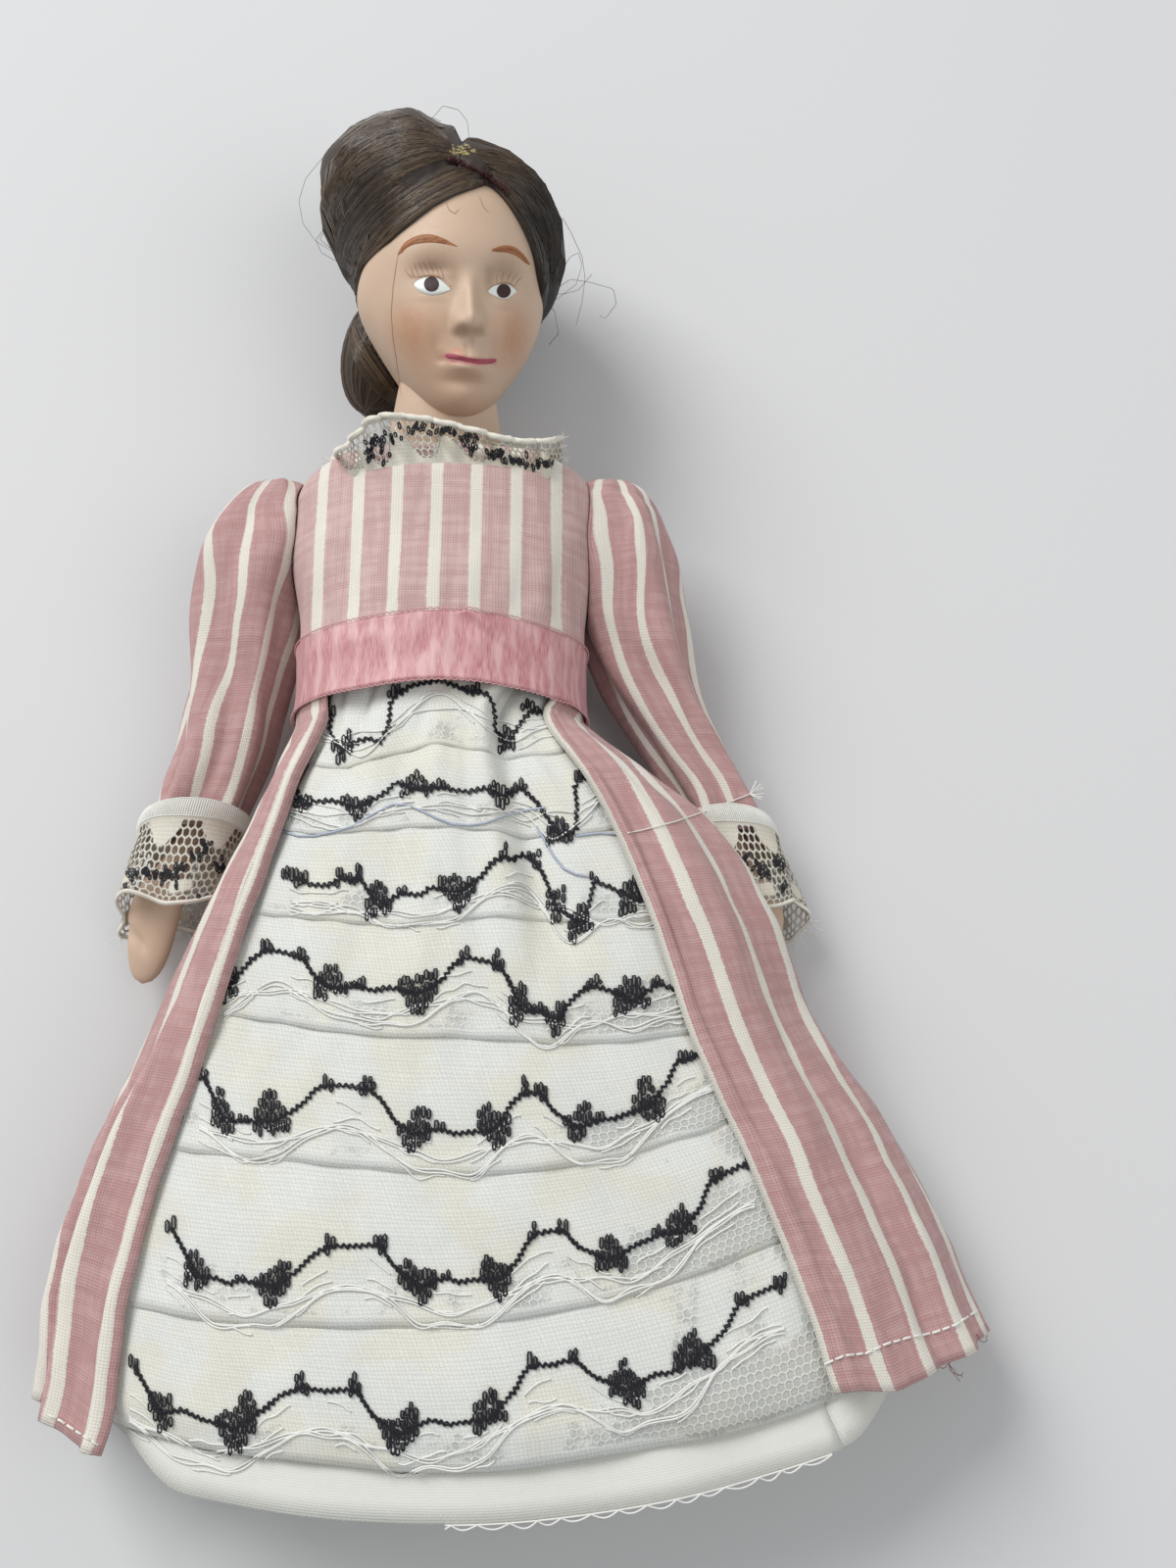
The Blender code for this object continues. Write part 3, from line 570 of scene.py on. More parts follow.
def skirt_point(across, along, extra):
    """A point of the skirt, extra millimetres outside its inmost layer."""
    angle = skirt_angle(across, along)
    side, rise = cos(angle), sin(angle)
    flare = max(0.0, along - SASH_ZONE) / (1.0 - SASH_ZONE)
    half = WAIST_HALF_WIDTH + (HEM_HALF_WIDTH - WAIST_HALF_WIDTH) * flare
    bulge = follow(LEFT_BULGE if side > 0 else RIGHT_BULGE, flare) * abs(side)
    if rise < 0:
        bulge *= max(0.0, 1.0 + 3.5 * rise) if along < 0.5 else 1.0 + rise * 0.6
        under_arm = smooth(SASH_ZONE, 0.16, along) * (1.0 - smooth(0.35, 0.6, along))
        half *= 1.0 - 0.22 * smooth(0.0, 0.5, -rise) * under_arm
    x = BODY_X * (1.0 - flare) + (half + bulge + extra) * side
    hem_x = HEM_HALF_WIDTH * side
    hem = HEM_Y + HEM_SLOPE * hem_x + HEM_SAG * hem_x ** 2
    y = WAIST_Y + (hem - WAIST_Y) * along
    middle = follow(SIDE_HEIGHT, flare)
    if rise >= 0:
        top = follow(TOP_HEIGHT, flare) + extra
        z = middle + (top - middle) * rise ** (1.0 - 0.3 * flare)
    else:
        sunk = smooth(SASH_ZONE, 0.28, along)
        lift = (BODY_Z - WAIST_HALF_DEPTH - LAYERS_AT_BACK) * (1.0 - sunk)
        floor = lift + LAYERS_AT_BACK - extra
        flat = smooth(0.08, 0.3, along)
        z = middle - (middle - floor + flat) * (-rise) ** (1.0 - 0.5 * flat)
        z = max(z, floor, 0.0)
    return Vector((x, y, z))


FAR_SIDE = 1005.8         # keeps the measures of the far half apart from those of the near half


def cloth_size(place, columns, rows, from_both=False):
    """Cloth measure of each grid point, in units of 100 mm, along both ways."""
    spots = [[Vector(place(i / columns, j / rows)) for i in range(columns + 1)] for j in range(rows + 1)]
    wide, tall = [], [[0.0] * (columns + 1)]
    for row in spots:
        run = [0.0]
        for one, two in zip(row, row[1:]):
            run.append(run[-1] + (two - one).length)
        if from_both:
            run = [value if value < run[-1] / 2 else -(run[-1] - value) - FAR_SIDE for value in run]
        wide.append(run)
    for one, two in zip(spots, spots[1:]):
        tall.append([done + (b - a).length for done, a, b in zip(tall[-1], one, two)])
    middle = [sum(row) / len(row) for row in tall]

    def read(u, v):
        i, j = round(u * columns), round(v * rows)
        return (wide[j][i] / 100.0, middle[j] / 100.0)
    return read


# %% [markdown]
# The underskirt is plain white cotton. It shows below the lace as a band, with
# its edge turned under, and it carries the narrow looped braid at one side.

# %% Underskirt
def ripple(across, along, size, seed=0.0):
    """Slow unevenness that no two folds share, in millimetres."""
    return size * uneven.noise(Vector((across * 14.0 + seed, along * 5.0, seed)))


def under_face(across, along, extra=0.0):
    side = abs(cos(skirt_angle(across, 1.0)))
    rise = 1.0 - 0.055 * smooth(0.62, 0.85, side)
    ease = UNDER_EASE * (0.25 + 0.75 * smooth(0.08, 0.2, along))
    front = smooth(0.0, 0.3, sin(skirt_angle(across, 1.0)))
    ease -= 1.15 * smooth(0.93, 0.985, along) * front
    wave = 0.45 * sin(across * 70.0 + 1.3) * smooth(0.8, 1.0, along) * front
    return skirt_point(across, along * rise, extra - ease + wave * 0.5)


def under_place(u, v):
    return under_face(u, UNDER_REACH * v)


underskirt = keep(laid(150, 44, under_place, True, cloth_size(under_place, 150, 44)),
                  "underskirt_cloth", WHITE, ("underskirt",))
thicken(underskirt, CLOTH)


# %% Front panel
def panel_place(u, v):
    across, along = -0.04 + (FRONT + 0.08) * u, 0.012 + 0.955 * v
    part = across / FRONT
    sunk = 2.4 * bump(part, 0.185 + 0.09 * along, 0.09) * (1.0 - smooth(0.25, 0.48, along))
    return skirt_point(across, along, LAYER_STEP - sunk)


panel = keep(laid(60, 50, panel_place, False, cloth_size(panel_place, 60, 50)),
             "front_panel_cloth", WHITE, ("front_panel",))
thicken(panel, 0.3, -1.0)
print("white cotton:", [piece.name for piece in (underskirt, panel)])

# %% [markdown]
# ## Overskirt
#
# It is open in front and gathered under the sash. Its two front edges are
# turned back, so each is a soft roll with a cream stripe beside it, and the
# stripes run along those edges. On the doll's right several folds converge; on
# its left the cloth lies wide and flat. The hem is turned up and sewn.

# %% Overskirt folds
def front_fullness(along):
    start = smooth(SASH_ZONE - 0.01, 0.17, along)
    return FOLD_DEPTH * start * (0.35 + 0.65 * exp(-along / 0.4))


def over_fold(back, along, edge):
    """Folds of the overskirt; back is 0 at the doll's right front edge, 1 at its left."""
    open_up = smooth(SASH_ZONE, 0.16, along)
    wave = 0.5 - 0.5 * cos(2 * pi * (7.0 * back + 0.25 * sin(5 * along)))
    reach = open_up * (0.45 + 0.55 * exp(-along / 0.5))
    level = 1.0 - smooth(0.22, 0.4, back) * smooth(0.78, 0.6, back)
    fold = FOLD_DEPTH * wave * reach * level
    if back < 0.3:
        lean = back - 0.035 - 0.02 * along
        fold += 1.5 * bump(lean, 0.028, 0.014) * smooth(0.3, 0.75, along)
        fold += 1.2 * bump(lean, 0.085, 0.017) * smooth(0.4, 0.9, along)
        fold -= 0.9 * bump(lean, 0.056, 0.014) * smooth(0.3, 0.8, along)
    else:
        lean = 1.0 - back
        fold += 0.5 * bump(lean, 0.06 + 0.03 * along, 0.018) * open_up * (1.0 - smooth(0.3, 0.6, along))
        fold += 1.0 * bump(lean, 0.17, 0.02) * smooth(0.45, 0.8, along)
        fold -= 0.7 * bump(lean, 0.135, 0.015) * smooth(0.45, 0.8, along)
    roll = 0.75 * bump(edge, 0.011, 0.008) - 0.9 * bump(edge, 0.0, 0.005)
    return fold + roll * (1.0 if along > SASH_ZONE else 0.4) + ripple(back * 3, along * 3, 0.35, 4.0)


def hem_change(u):
    """Share by which the hem hangs lower or higher than the section, round the back."""
    return 0.023 * smooth(0.12, 0.0, u) - 0.03 * bump(u, 0.22, 0.09) - 0.02 * smooth(0.93, 1.0, u)


def over_face(u, along, extra=0.0):
    across = FRONT + (1.0 - FRONT) * u
    along *= 1.0 + hem_change(u) * smooth(0.5, 1.0, along)
    edge = min(abs(across - FRONT), abs(1.0 - across))
    near = 1.0 - smooth(0.05, 0.13, edge)
    held = 1.0 - smooth(SASH_ZONE, 0.2, along)
    lift = max(near, held) * 3 * LAYER_STEP
    cover = near * front_fullness(along)
    fold = over_fold(u, along, edge * 2.2 / (0.5 + along)) * smooth(0.02, 0.09, along)
    bottom = sin(skirt_angle(across, along))
    fold *= smooth(-0.9, -0.2, bottom)
    fold -= 1.3 * bump(u, 0.22, 0.1) * smooth(0.7, 1.0, along)
    return skirt_point(across, along, LAYER_STEP + extra + lift + cover + fold)


OVER_COLUMNS, OVER_ROWS = 270, 80
over_size = cloth_size(over_face, OVER_COLUMNS, OVER_ROWS, True)
PINK_SKIRT = striped_cotton("striped_cotton_skirt", 2.2, 7.0, 1.75)
bm = laid(OVER_COLUMNS, OVER_ROWS, over_face, False, over_size)
overskirt = keep(bm, "overskirt_cloth", PINK_SKIRT, ("overskirt",))
thicken(overskirt, CLOTH, 1.0)
print("overskirt points:", len(overskirt.data.vertices))

# %% [markdown]
# ## Lace front
#
# Seven strips of gathered lace are sewn along their tops, each over the seam of
# the next. The lace is machine made: dense white ground, then a black chain of
# flowers and buds, then open net with loose cream threads at the lower edge.
# The flowers are not evenly spread, so where each one lies is read from
# the photograph and carried down the line of sight onto the cloth.

# %% Where the chain runs, in picture points
# A flower (f) or a bud (b) also has its width and height; the other points are plain chain.
LACE_ROWS = (
    ((334, 722), ("b", 337, 722, 10, 14), (336, 745), ("f", 348, 763, 22, 32), (362, 757), (375, 752),
     (388, 757), (396, 740), (398, 716), ("b", 404, 706, 18, 12), (420, 699), (448, 693),
     ("b", 480, 703, 22, 14), (498, 707), (504, 722), (505, 745), ("f", 517, 755, 18, 26), (530, 738),
     ("b", 541, 722, 20, 16), (553, 726), (559, 732), ("b", 565, 720, 12, 16), (580, 716),
     ("b", 592, 710, 22, 14), (604, 716), (611, 738)),
    (("f", 300, 792, 10, 26), ("f", 307, 818, 24, 18), (322, 817), (340, 816), ("f", 363, 821, 32, 24),
     (382, 814), (396, 806), (403, 797), ("f", 425, 802, 34, 24), ("b", 450, 801, 20, 12), (462, 805),
     (480, 807), (495, 803), ("f", 511, 809, 28, 24), ("b", 531, 801, 14, 12), (545, 815),
     ("f", 571, 850, 28, 28), (588, 846), (588, 822), (586, 802), ("b", 592, 790, 14, 16), (606, 791),
     (618, 782), ("b", 628, 780, 14, 10)),
    (("f", 300, 893, 28, 20), (318, 902), (335, 903), ("b", 346, 893, 8, 22), ("b", 357, 896, 16, 14),
     ("b", 366, 890, 6, 20), (373, 905), ("f", 386, 920, 28, 42), ("b", 410, 908, 12, 12), (428, 913),
     (440, 904), ("f", 466, 907, 40, 36), (490, 894), (502, 879), ("b", 513, 870, 10, 22),
     ("b", 522, 875, 12, 10), (533, 871), ("b", 545, 876, 14, 22), (555, 893), ("f", 567, 921, 20, 42),
     (579, 932), ("f", 593, 943, 27, 36), (602, 915), ("b", 606, 896, 12, 12), (620, 903),
     ("f", 650, 914, 38, 38), (676, 905)),
    (("f", 232, 1005, 22, 36), (246, 990), (258, 976), ("b", 272, 966, 14, 18), (288, 971),
     ("b", 307, 974, 18, 14), (319, 993), ("f", 337, 1004, 36, 36), ("b", 364, 1003, 18, 12), (380, 1010),
     (396, 1007), ("f", 426, 1009, 42, 42), (452, 998), (462, 983), ("b", 474, 974, 12, 20), (490, 979),
     ("b", 508, 981, 14, 22), (519, 1000), ("f", 531, 1026, 24, 42), ("b", 551, 1029, 16, 12),
     ("f", 567, 1038, 22, 40), (584, 1018), (596, 1008), ("b", 606, 1003, 18, 14), (622, 1010),
     ("f", 645, 1017, 38, 40), ("b", 671, 1001, 14, 12), (688, 1009), ("b", 703, 993, 14, 16)),
    (("b", 207, 1096, 12, 22), (215, 1113), ("f", 227, 1137, 24, 44), ("b", 248, 1141, 12, 12),
     ("f", 277, 1139, 38, 44), (300, 1132), (314, 1120), (322, 1110), ("b", 335, 1105, 12, 20),
     (352, 1107), ("b", 375, 1108, 18, 20), (391, 1124), (402, 1143), ("f", 422, 1152, 36, 44),
     ("b", 449, 1149, 12, 12), (462, 1156), (477, 1155), ("f", 504, 1148, 34, 42), (522, 1124),
     (531, 1117), ("b", 536, 1111, 8, 22), ("b", 552, 1114, 14, 22), (564, 1133), ("f", 589, 1145, 30, 40),
     ("b", 610, 1141, 14, 12), (628, 1140), ("f", 662, 1124, 34, 44), (683, 1100), (689, 1084),
     ("b", 700, 1077, 16, 16), (716, 1075), ("b", 729, 1063, 14, 24)),
    (("b", 174, 1250, 12, 20), (186, 1273), ("f", 200, 1298, 26, 42), (222, 1304), (233, 1310),
     ("b", 245, 1303, 10, 10), ("f", 278, 1308, 38, 46), (302, 1297), (318, 1280),
     ("b", 337, 1268, 12, 22), (352, 1271), (368, 1270), ("b", 388, 1268, 14, 22), (400, 1290),
     ("f", 426, 1307, 40, 44), ("b", 455, 1301, 12, 10), (470, 1308), (483, 1305),
     ("f", 506, 1302, 32, 42), (526, 1288), (537, 1268), ("b", 543, 1257, 10, 20), (558, 1256),
     ("b", 574, 1252, 12, 20), (590, 1272), ("f", 624, 1282, 34, 40), (647, 1270), (660, 1265),
     ("b", 672, 1257, 16, 14), ("f", 695, 1252, 32, 40), (714, 1233), (722, 1208),
     ("b", 731, 1198, 16, 16), (748, 1193), ("b", 765, 1182, 12, 20)),
    (("b", 136, 1391, 12, 20), (148, 1413), ("f", 163, 1437, 26, 46), (186, 1438), (204, 1447),
     ("f", 240, 1452, 44, 54), (268, 1438), (286, 1423), ("b", 308, 1413, 14, 24), (334, 1419),
     ("b", 362, 1414, 14, 24), (380, 1444), ("f", 406, 1458, 42, 46), (440, 1448), (456, 1453),
     ("f", 500, 1442, 36, 42), (526, 1417), (534, 1400), ("b", 543, 1390, 12, 18), (564, 1392),
     ("b", 585, 1383, 12, 20), (604, 1403), ("f", 640, 1414, 38, 44), (668, 1402), (684, 1400),
     ("f", 709, 1383, 44, 38), (740, 1356), (749, 1337), ("b", 757, 1325, 16, 16), (778, 1316),
     ("b", 796, 1309, 14, 22)),
)
ROW_PLACES = [[mark[1:3] if len(mark) > 2 else mark for mark in row] for row in LACE_ROWS]
print("flowers:", sum(mark[0] == "f" for row in LACE_ROWS for mark in row))

# %% Lines of sight onto the front
def front_place(u, v):
    return skirt_point(-0.05 + (FRONT + 0.1) * u, 1.06 * v, 3 * LAYER_STEP)


def cloth_tree(bm):
    bmesh.ops.triangulate(bm, faces=bm.faces[:])
    bm.faces.ensure_lookup_table()
    return BVHTree.FromBMesh(bm)


form = laid(120, 120, front_place)
form_tree = cloth_tree(form)
form_uv = form.loops.layers.uv["cloth"]


def cloth_spot(px, py):
    """Across and along of the front, under a point of the picture."""
    hit, _, index, _ = look(form_tree, px, py)
    if hit is None:
        return None
    loops = form.faces[index].loops
    weights = [1.0 / ((loop.vert.co - hit).length + 1e-7) for loop in loops]
    total = sum(weights)
    u = sum(loop[form_uv].uv.x * weight for loop, weight in zip(loops, weights)) / total
    v = sum(loop[form_uv].uv.y * weight for loop, weight in zip(loops, weights)) / total
    return -0.05 + (FRONT + 0.1) * u, 1.06 * v


CHAINS = []
for row in ROW_PLACES:
    spots = [cloth_spot(*place) for place in row]
    CHAINS.append(sorted(spot for spot in spots if spot))


def chain_along(index, across, soft=0.028):
    """How far down a row's chain lies, smoothed along the row."""
    total = weight = 0.0
    for spot, along in CHAINS[index]:
        share = bump(spot, across, soft) + 1e-9
        total += share * along
        weight += share
    return total / weight


print("chain rows:", [round(chain_along(index, 0.2), 3) for index in range(7)])

# %% [markdown]
# The ground of each strip is dense above the chain and open net below it. A
# value stored on its points says how dense it is there, and the finish turns
# that into gaps of a six-sided net.

# %% Net and lace ground
NET_SLOPE = 0.57735      # rows of a six-sided net lie closer than its columns


def make_net():
    """Six-sided net: how close a point is to a thread."""
    tree, start, end = group("net", [("Cloth", "Vector", None), ("Cell", "Float", 1.2)],
                             [("Thread", "Float")])
    parts = parts_of(tree, start.outputs["Cloth"])
    across, along = (calc(tree, "DIVIDE", times(tree, part, size), start.outputs["Cell"])
                     for part, size in zip(parts, (100.0, 100.0 * NET_SLOPE)))
    reach = []
    for step in (0.0, 0.5):
        x, y = (calc(tree, "ABSOLUTE", minus(tree, calc(tree, "FRACT", plus(tree, way, step)), 0.5))
                for way in (across, along))
        slant = calc(tree, "MULTIPLY_ADD", y, 1.5, times(tree, x, 0.5))
        reach.append(calc(tree, "MAXIMUM", x, slant))
    near = minus(tree, 0.5, calc(tree, "MINIMUM", reach[0], reach[1]))
    tree.links.new(between(tree, near, 0.17, 0.05), end.inputs["Thread"])
    return tree


NET = make_net()


def lace_ground(name, cell=1.1, white=(0.72, 0.73, 0.69, 1.0), pierced=False):
    made, tree, main = finish(name, 0.88, Sheen_Weight=0.12)
    cloth = coordinates(tree)
    place = coordinates(tree, "Object")
    net = placed(tree, NET, Cloth=cloth, Cell=cell)
    weave = placed(tree, WEAVE, Cloth=cloth, Pitch=0.5, Unevenness=1.6)
    density = tree.nodes.new("ShaderNodeAttribute")
    density.attribute_name = "dense"
    cloud = noise(tree, place, 420.0, 3.0)
    dense = between(tree, plus(tree, density.outputs["Fac"], minus(tree, cloud, 0.5)), 0.35, 0.65)
    open_net = minus(tree, 1.0, net.outputs["Thread"])
    gap = times(tree, open_net, minus(tree, 1.0, dense))
    blotch = placed(tree, BLOTCH, Place=place, Size=7.0, Strength=0.2)
    yellowed = between(tree, noise(tree, place, 110.0, 3.0), 0.42, 0.62)
    aged = (white[0], white[1] * 0.97, white[2] * 0.9, 1.0)
    white = blend(tree, yellowed, white, aged)
    # the low parts of the yarns are darker and the crowns lighter: painted shade and light on the weave; the
    # blotch is uneven tone
    thread_tone_and_shade = times(tree, blotch.outputs["Tone"],
                       between(tree, weave.outputs["Height"], 0.2, 1.0, 0.86, 1.03))
    # the holes of the net are painted grey: painted shade on the cloth beneath the lace
    coloured(tree, main, blend(tree, times(tree, gap, 0.8), tinted(tree, white, thread_tone_and_shade),
                               (0.46, 0.465, 0.44, 1.0)))
    pad = noise(tree, place, 300.0, 4.0)
    height = plus(tree, times(tree, weave.outputs["Height"], 0.25),
                  minus(tree, times(tree, pad, 0.9), gap))
    relief(tree, main, height, 0.14, 0.75)
    if pierced:
        tree.links.new(minus(tree, 1.0, gap), main.inputs["Alpha"])
    return made


LACE_GROUND = lace_ground("lace_ground")
NARROW_LACE = lace_ground("narrow_lace", 1.15, (0.66, 0.63, 0.54, 1.0), True)

# %% Fullness of the lace front
def front_fold(across, along):
    """Gathers under the sash, and one deep pleat at the doll's left."""
    part = across / FRONT
    fade = exp(-along / 0.4)
    wave = 0.5 + 0.5 * cos(2 * pi * (4.0 * part + 0.15 * sin(9 * along)))
    pleat = bump(part, 0.185 + 0.09 * along, 0.055) * (1.0 - smooth(0.25, 0.48, along))
    shoulder = bump(part, 0.29 + 0.08 * along, 0.05) * (1.0 - smooth(0.3, 0.55, along))
    crease = bump(part, 0.82, 0.03) * (1.0 - smooth(0.06, 0.2, along))
    swell = 0.5 * ripple(across, along, 1.0, 2.0) + 0.35 * ripple(across * 3.2, along * 3.0, 1.0, 7.0)
    fold = front_fullness(along) * (1.0 - fade * (1.0 - wave)) + swell * (0.5 + 0.5 * fade)
    return fold - 2.3 * pleat + 0.9 * shoulder - 0.9 * crease


TIER_LAP = 0.022
DROPS = (0.06, 0.05, 0.05, 0.07, 0.072, 0.072, 0.052)


def tier_bottom(index, across):
    if index < 0:
        return 0.014 + TIER_LAP
    if index == 6:
        return 0.990 + 0.002 * sin(across * 40.0)
    scallop = 0.0025 * uneven.noise(Vector((across * 24.0, index * 3.0, 0.0)))
    return chain_along(index, across, 0.085) + DROPS[index] + scallop


def tier_place(index):
    def place(u, v):
        across = -0.02 + (FRONT + 0.04) * u
        top = tier_bottom(index - 1, across) - TIER_LAP
        bottom = max(tier_bottom(index, across), top + 0.03)
        along = top + (bottom - top) * v
        over_next = smooth(0.0, 0.6, v)
        puff = 0.12 * sin(pi * min(v * 1.25, 1.0))
        free = 0.10 * sin(across * 120.0 + 3.0 * index) * smooth(0.7, 1.0, v)
        lift = 2 * LAYER_STEP + 0.27 * over_next + puff + free
        if index == 6:
            lift -= 1.15 * smooth(0.8, 1.0, v)
        return skirt_point(across, along, lift + front_fold(across, along))
    return place


# %% The seven strips
tiers = []
for index in range(7):
    place = tier_place(index)
    bm = laid(150, 14, place, False, cloth_size(place, 150, 14))
    uv = bm.loops.layers.uv["cloth"]
    dense = bm.verts.layers.float.new("dense")
    bm.verts.index_update()
    depths = {loop.vert.index: loop[uv].uv.y for face in bm.faces for loop in face.loops}
    deepest = max(depths.values())
    for vert in bm.verts:
        down = depths[vert.index] / deepest
        right = smooth(0.004, 0.03, vert.co.x)
        patch = 0.5 * uneven.noise(vert.co * 160.0)
        vert[dense] = 1.15 + patch - 0.5 * smooth(0.5, 0.8, down) * (1.0 + 0.5 * right) - 0.5 * right \
            + 0.9 * smooth(0.95, 0.99, down)
    tier = keep(bm, f"lace_strip_{index + 1}", LACE_GROUND, (f"lace_tier_{index + 1}",))
    thicken(tier, 0.16, -1.0)
    tiers.append(tier)
print("strips:", len(tiers))

# %% [markdown]
# Everything sewn on the lace is real thread here: a thread that is only
# painted looks flat at the edge of a fold. Each line is drawn in picture
# points, and each of its points is set down on the cloth it crosses.

# %% Setting threads down on the cloth
def tree_over(pieces):
    """One search tree over several finished pieces."""
    whole = bmesh.new()
    for piece in pieces:
        whole.from_mesh(piece.data)
    return cloth_tree(whole)


lace_tree = tree_over(tiers + [panel, underskirt])


def set_down(px, py, lift, tree=None):
    """The spot on the cloth under a picture point, in the pattern's millimetres."""
    hit = look(tree or lace_tree, px, py)[0]
    if hit is None:
        return None
    return (hit - sight(px, py) * lift * MM) / MM - SHIFT


def drawn(points, step=2.5):
    """Points evenly spaced along a line through a few points."""
    run = [0.0]
    for one, two in zip(points, points[1:]):
        run.append(run[-1] + dist(one, two))
    made, count = [], max(2, int(run[-1] / step))
    for number in range(count + 1):
        reach = run[-1] * number / count
        after = next(i for i, value in enumerate(run) if value >= reach - 1e-9)
        after = max(after, 1)
        part = (reach - run[after - 1]) / max(run[after] - run[after - 1], 1e-9)
        made.append((points[after - 1][0] + (points[after][0] - points[after - 1][0]) * part,
                     points[after - 1][1] + (points[after][1] - points[after - 1][1]) * part))
    return made


def sewn(points, lift, tree=None):
    """Set a drawn line down; it is broken where it leaves the cloth."""
    lines, line = [], []
    for px, py in points:
        spot = set_down(px, py, lift, tree)
        if spot is None or (line and (spot - line[-1]).length > 2.5):
            if len(line) > 2:
                lines.append(line)
            line = []
        if spot is not None:
            line.append(spot)
    if len(line) > 2:
        lines.append(line)
    return lines


# %% Black chain, flowers and buds
random.seed(7)


def loop_stitch(x, y, tall, wide=1.7):
    """One upright looped stitch."""
    low, high = y + tall / 2, y - tall / 2
    return [(x, low), (x + wide, low - 1.2), (x + wide, high + 1.2), (x, high), (x - wide, high + 1.2),
            (x - wide, low - 1.2), (x, low)]


def flower_stitches(x, y, wide, tall):
    """Upright loops that fill a lobed patch."""
    made = []
    count = max(2, round(wide / 4.9))
    tip = uniform(-0.3, 0.3)
    for number in range(count):
        part = (number + 0.5) / count * 2 - 1
        reach = tall * (0.28 + 0.72 * cos((part - tip) * 1.4)) * uniform(0.8, 1.1)
        shift = tall * (0.16 * sin(3.0 * part + 9.0 * tip) + uniform(-0.05, 0.05))
        pieces = max(1, round(reach / 10.5))
        for layer in range(pieces):
            middle = y + shift + reach * ((layer + 0.5) / pieces - 0.5) + uniform(-1.5, 1.5)
            made.append(loop_stitch(x + part * wide / 2 + uniform(-0.7, 0.7), middle,
                                    reach / pieces * uniform(0.85, 1.08), uniform(1.3, 1.9)))
    return made


def chain_stitch(points):
    """A running zigzag between motifs."""
    line = drawn(points, 3.2)
    made = []
    for number, (x, y) in enumerate(line):
        after, before = line[min(number + 1, len(line) - 1)], line[max(number - 1, 0)]
        long = dist(after, before) or 1.0
        swing = (2.1 if number % 2 else -2.1) * uniform(0.6, 1.35)
        made.append((x - swing * (after[1] - before[1]) / long, y + swing * (after[0] - before[0]) / long))
    return drawn(made, 1.8)


black_paths = []
for row in LACE_ROWS:
    line = [(mark[1], mark[2] + (mark[4] * 0.1 if mark[0] == "f" else 2.0)) if len(mark) > 2 else mark
            for mark in row]
    black_paths += sewn(chain_stitch(line), 0.22)
    black_paths += sewn([(x + 1.0, y + 1.6) for x, y in chain_stitch(line)], 0.2)
    for mark in row:
        if len(mark) > 2:
            for stitch in flower_stitches(*mark[1:]):
                black_paths += sewn(drawn(stitch, 2.9), 0.26)
black_work = threads("black_flower_chain", black_paths, 0.125, BLACK_THREAD)
print("black work triangles:", sum(len(face.vertices) - 2 for face in black_work.data.polygons))

# %% Cream threads below the chain
def chain_height(row, px):
    """Picture height of a row's chain at a picture column."""
    total = sum(bump(x, px, 22.0) for x, y in row) + 1e-9
    return sum(bump(x, px, 22.0) * y for x, y in row) / total


random.seed(11)
cream_paths = []
for number, row in enumerate(ROW_PLACES):
    first, last = row[0][0] - 4, row[-1][0] + 8
    deep = (22, 30, 40, 44, 54, 58, 60)[number]
    for phase in (0, 1):
        for strand in range(2 if number > 1 else 1):
            seed, line = uniform(0, 50), []
            for px in range(first, last, 4):
                base = sum(chain_height(row, px + step) for step in (-26, 0, 26)) / 3.0
                rise = chain_height(row, px) - base
                swing = 1.5 * rise if phase else -0.75 * rise
                sway = uneven.noise(Vector((px / 26.0, seed, 0.0))) * 3.0
                line.append((px, base + deep * (0.62 + 0.16 * phase) + swing + 2.6 * strand + sway))
            cream_paths += sewn(drawn(line, 3.0), 0.16 + 0.05 * phase)
    for strand in range(3):
        offset, seed, line = deep * (0.3 + 0.3 * strand), uniform(0, 50), []
        for px in range(first, last, 5):
            sway = uneven.noise(Vector((px / 15.0, seed, 0.0))) * 5.0
            slow = uneven.noise(Vector((px / 60.0, seed, 3.0))) * 10.0
            line.append((px, chain_height(row, px) + offset + sway + slow))
        pieces = drawn(line, 3.0)
        for start in range(0, len(pieces) - 8, 26):
            cream_paths += sewn(pieces[start:start + random.randint(8, 22)], 0.14)
cream_work = threads("cream_loose_threads", cream_paths, 0.13, WHITE_THREAD)
PALE_BLUE = yarn_finish("pale_blue_thread", (0.42, 0.46, 0.54, 1.0))
blue = ([(288, 848), (304, 853), (320, 853), (340, 849), (360, 843), (380, 831), (400, 821), (415, 821),
         (430, 827), (446, 835), (462, 841), (478, 842), (494, 840), (514, 833), (535, 827), (556, 824)],
        [(548, 843), (556, 858), (564, 872), (575, 886), (587, 892), (599, 894)],
        [(588, 853), (612, 850), (640, 852), (672, 850)])
blue_paths = [path for line in blue for path in sewn(drawn(line, 2.5), 0.2)]
blue_work = threads("pale_blue_stitches", blue_paths, 0.17, PALE_BLUE, sides=1)
print("cream threads:", len(cream_paths))

# %% [markdown]
# ## Bodice and sleeves
#
# The bodice is cut square at the shoulders, and its stripes run straight down
# from the neck. The sleeves are full at the cap and stand up past the shoulder
# seam, then hang in long soft folds that the stripes follow. Both could be
# sewn from flat patterns in a simulation; laid on sections, their seams stay
# exactly where the body needs them.

# %% Bodice
BODICE_Y, SHOULDER_Y, NECK_RISE, NECKLINE = 10.5, 37.5, 6.4, 0.74
BODICE_HALF_WIDTH, BODICE_HALF_DEPTH = 22.4, 12.9
SASH_LIFT = 4 * LAYER_STEP + CLOTH + FIT


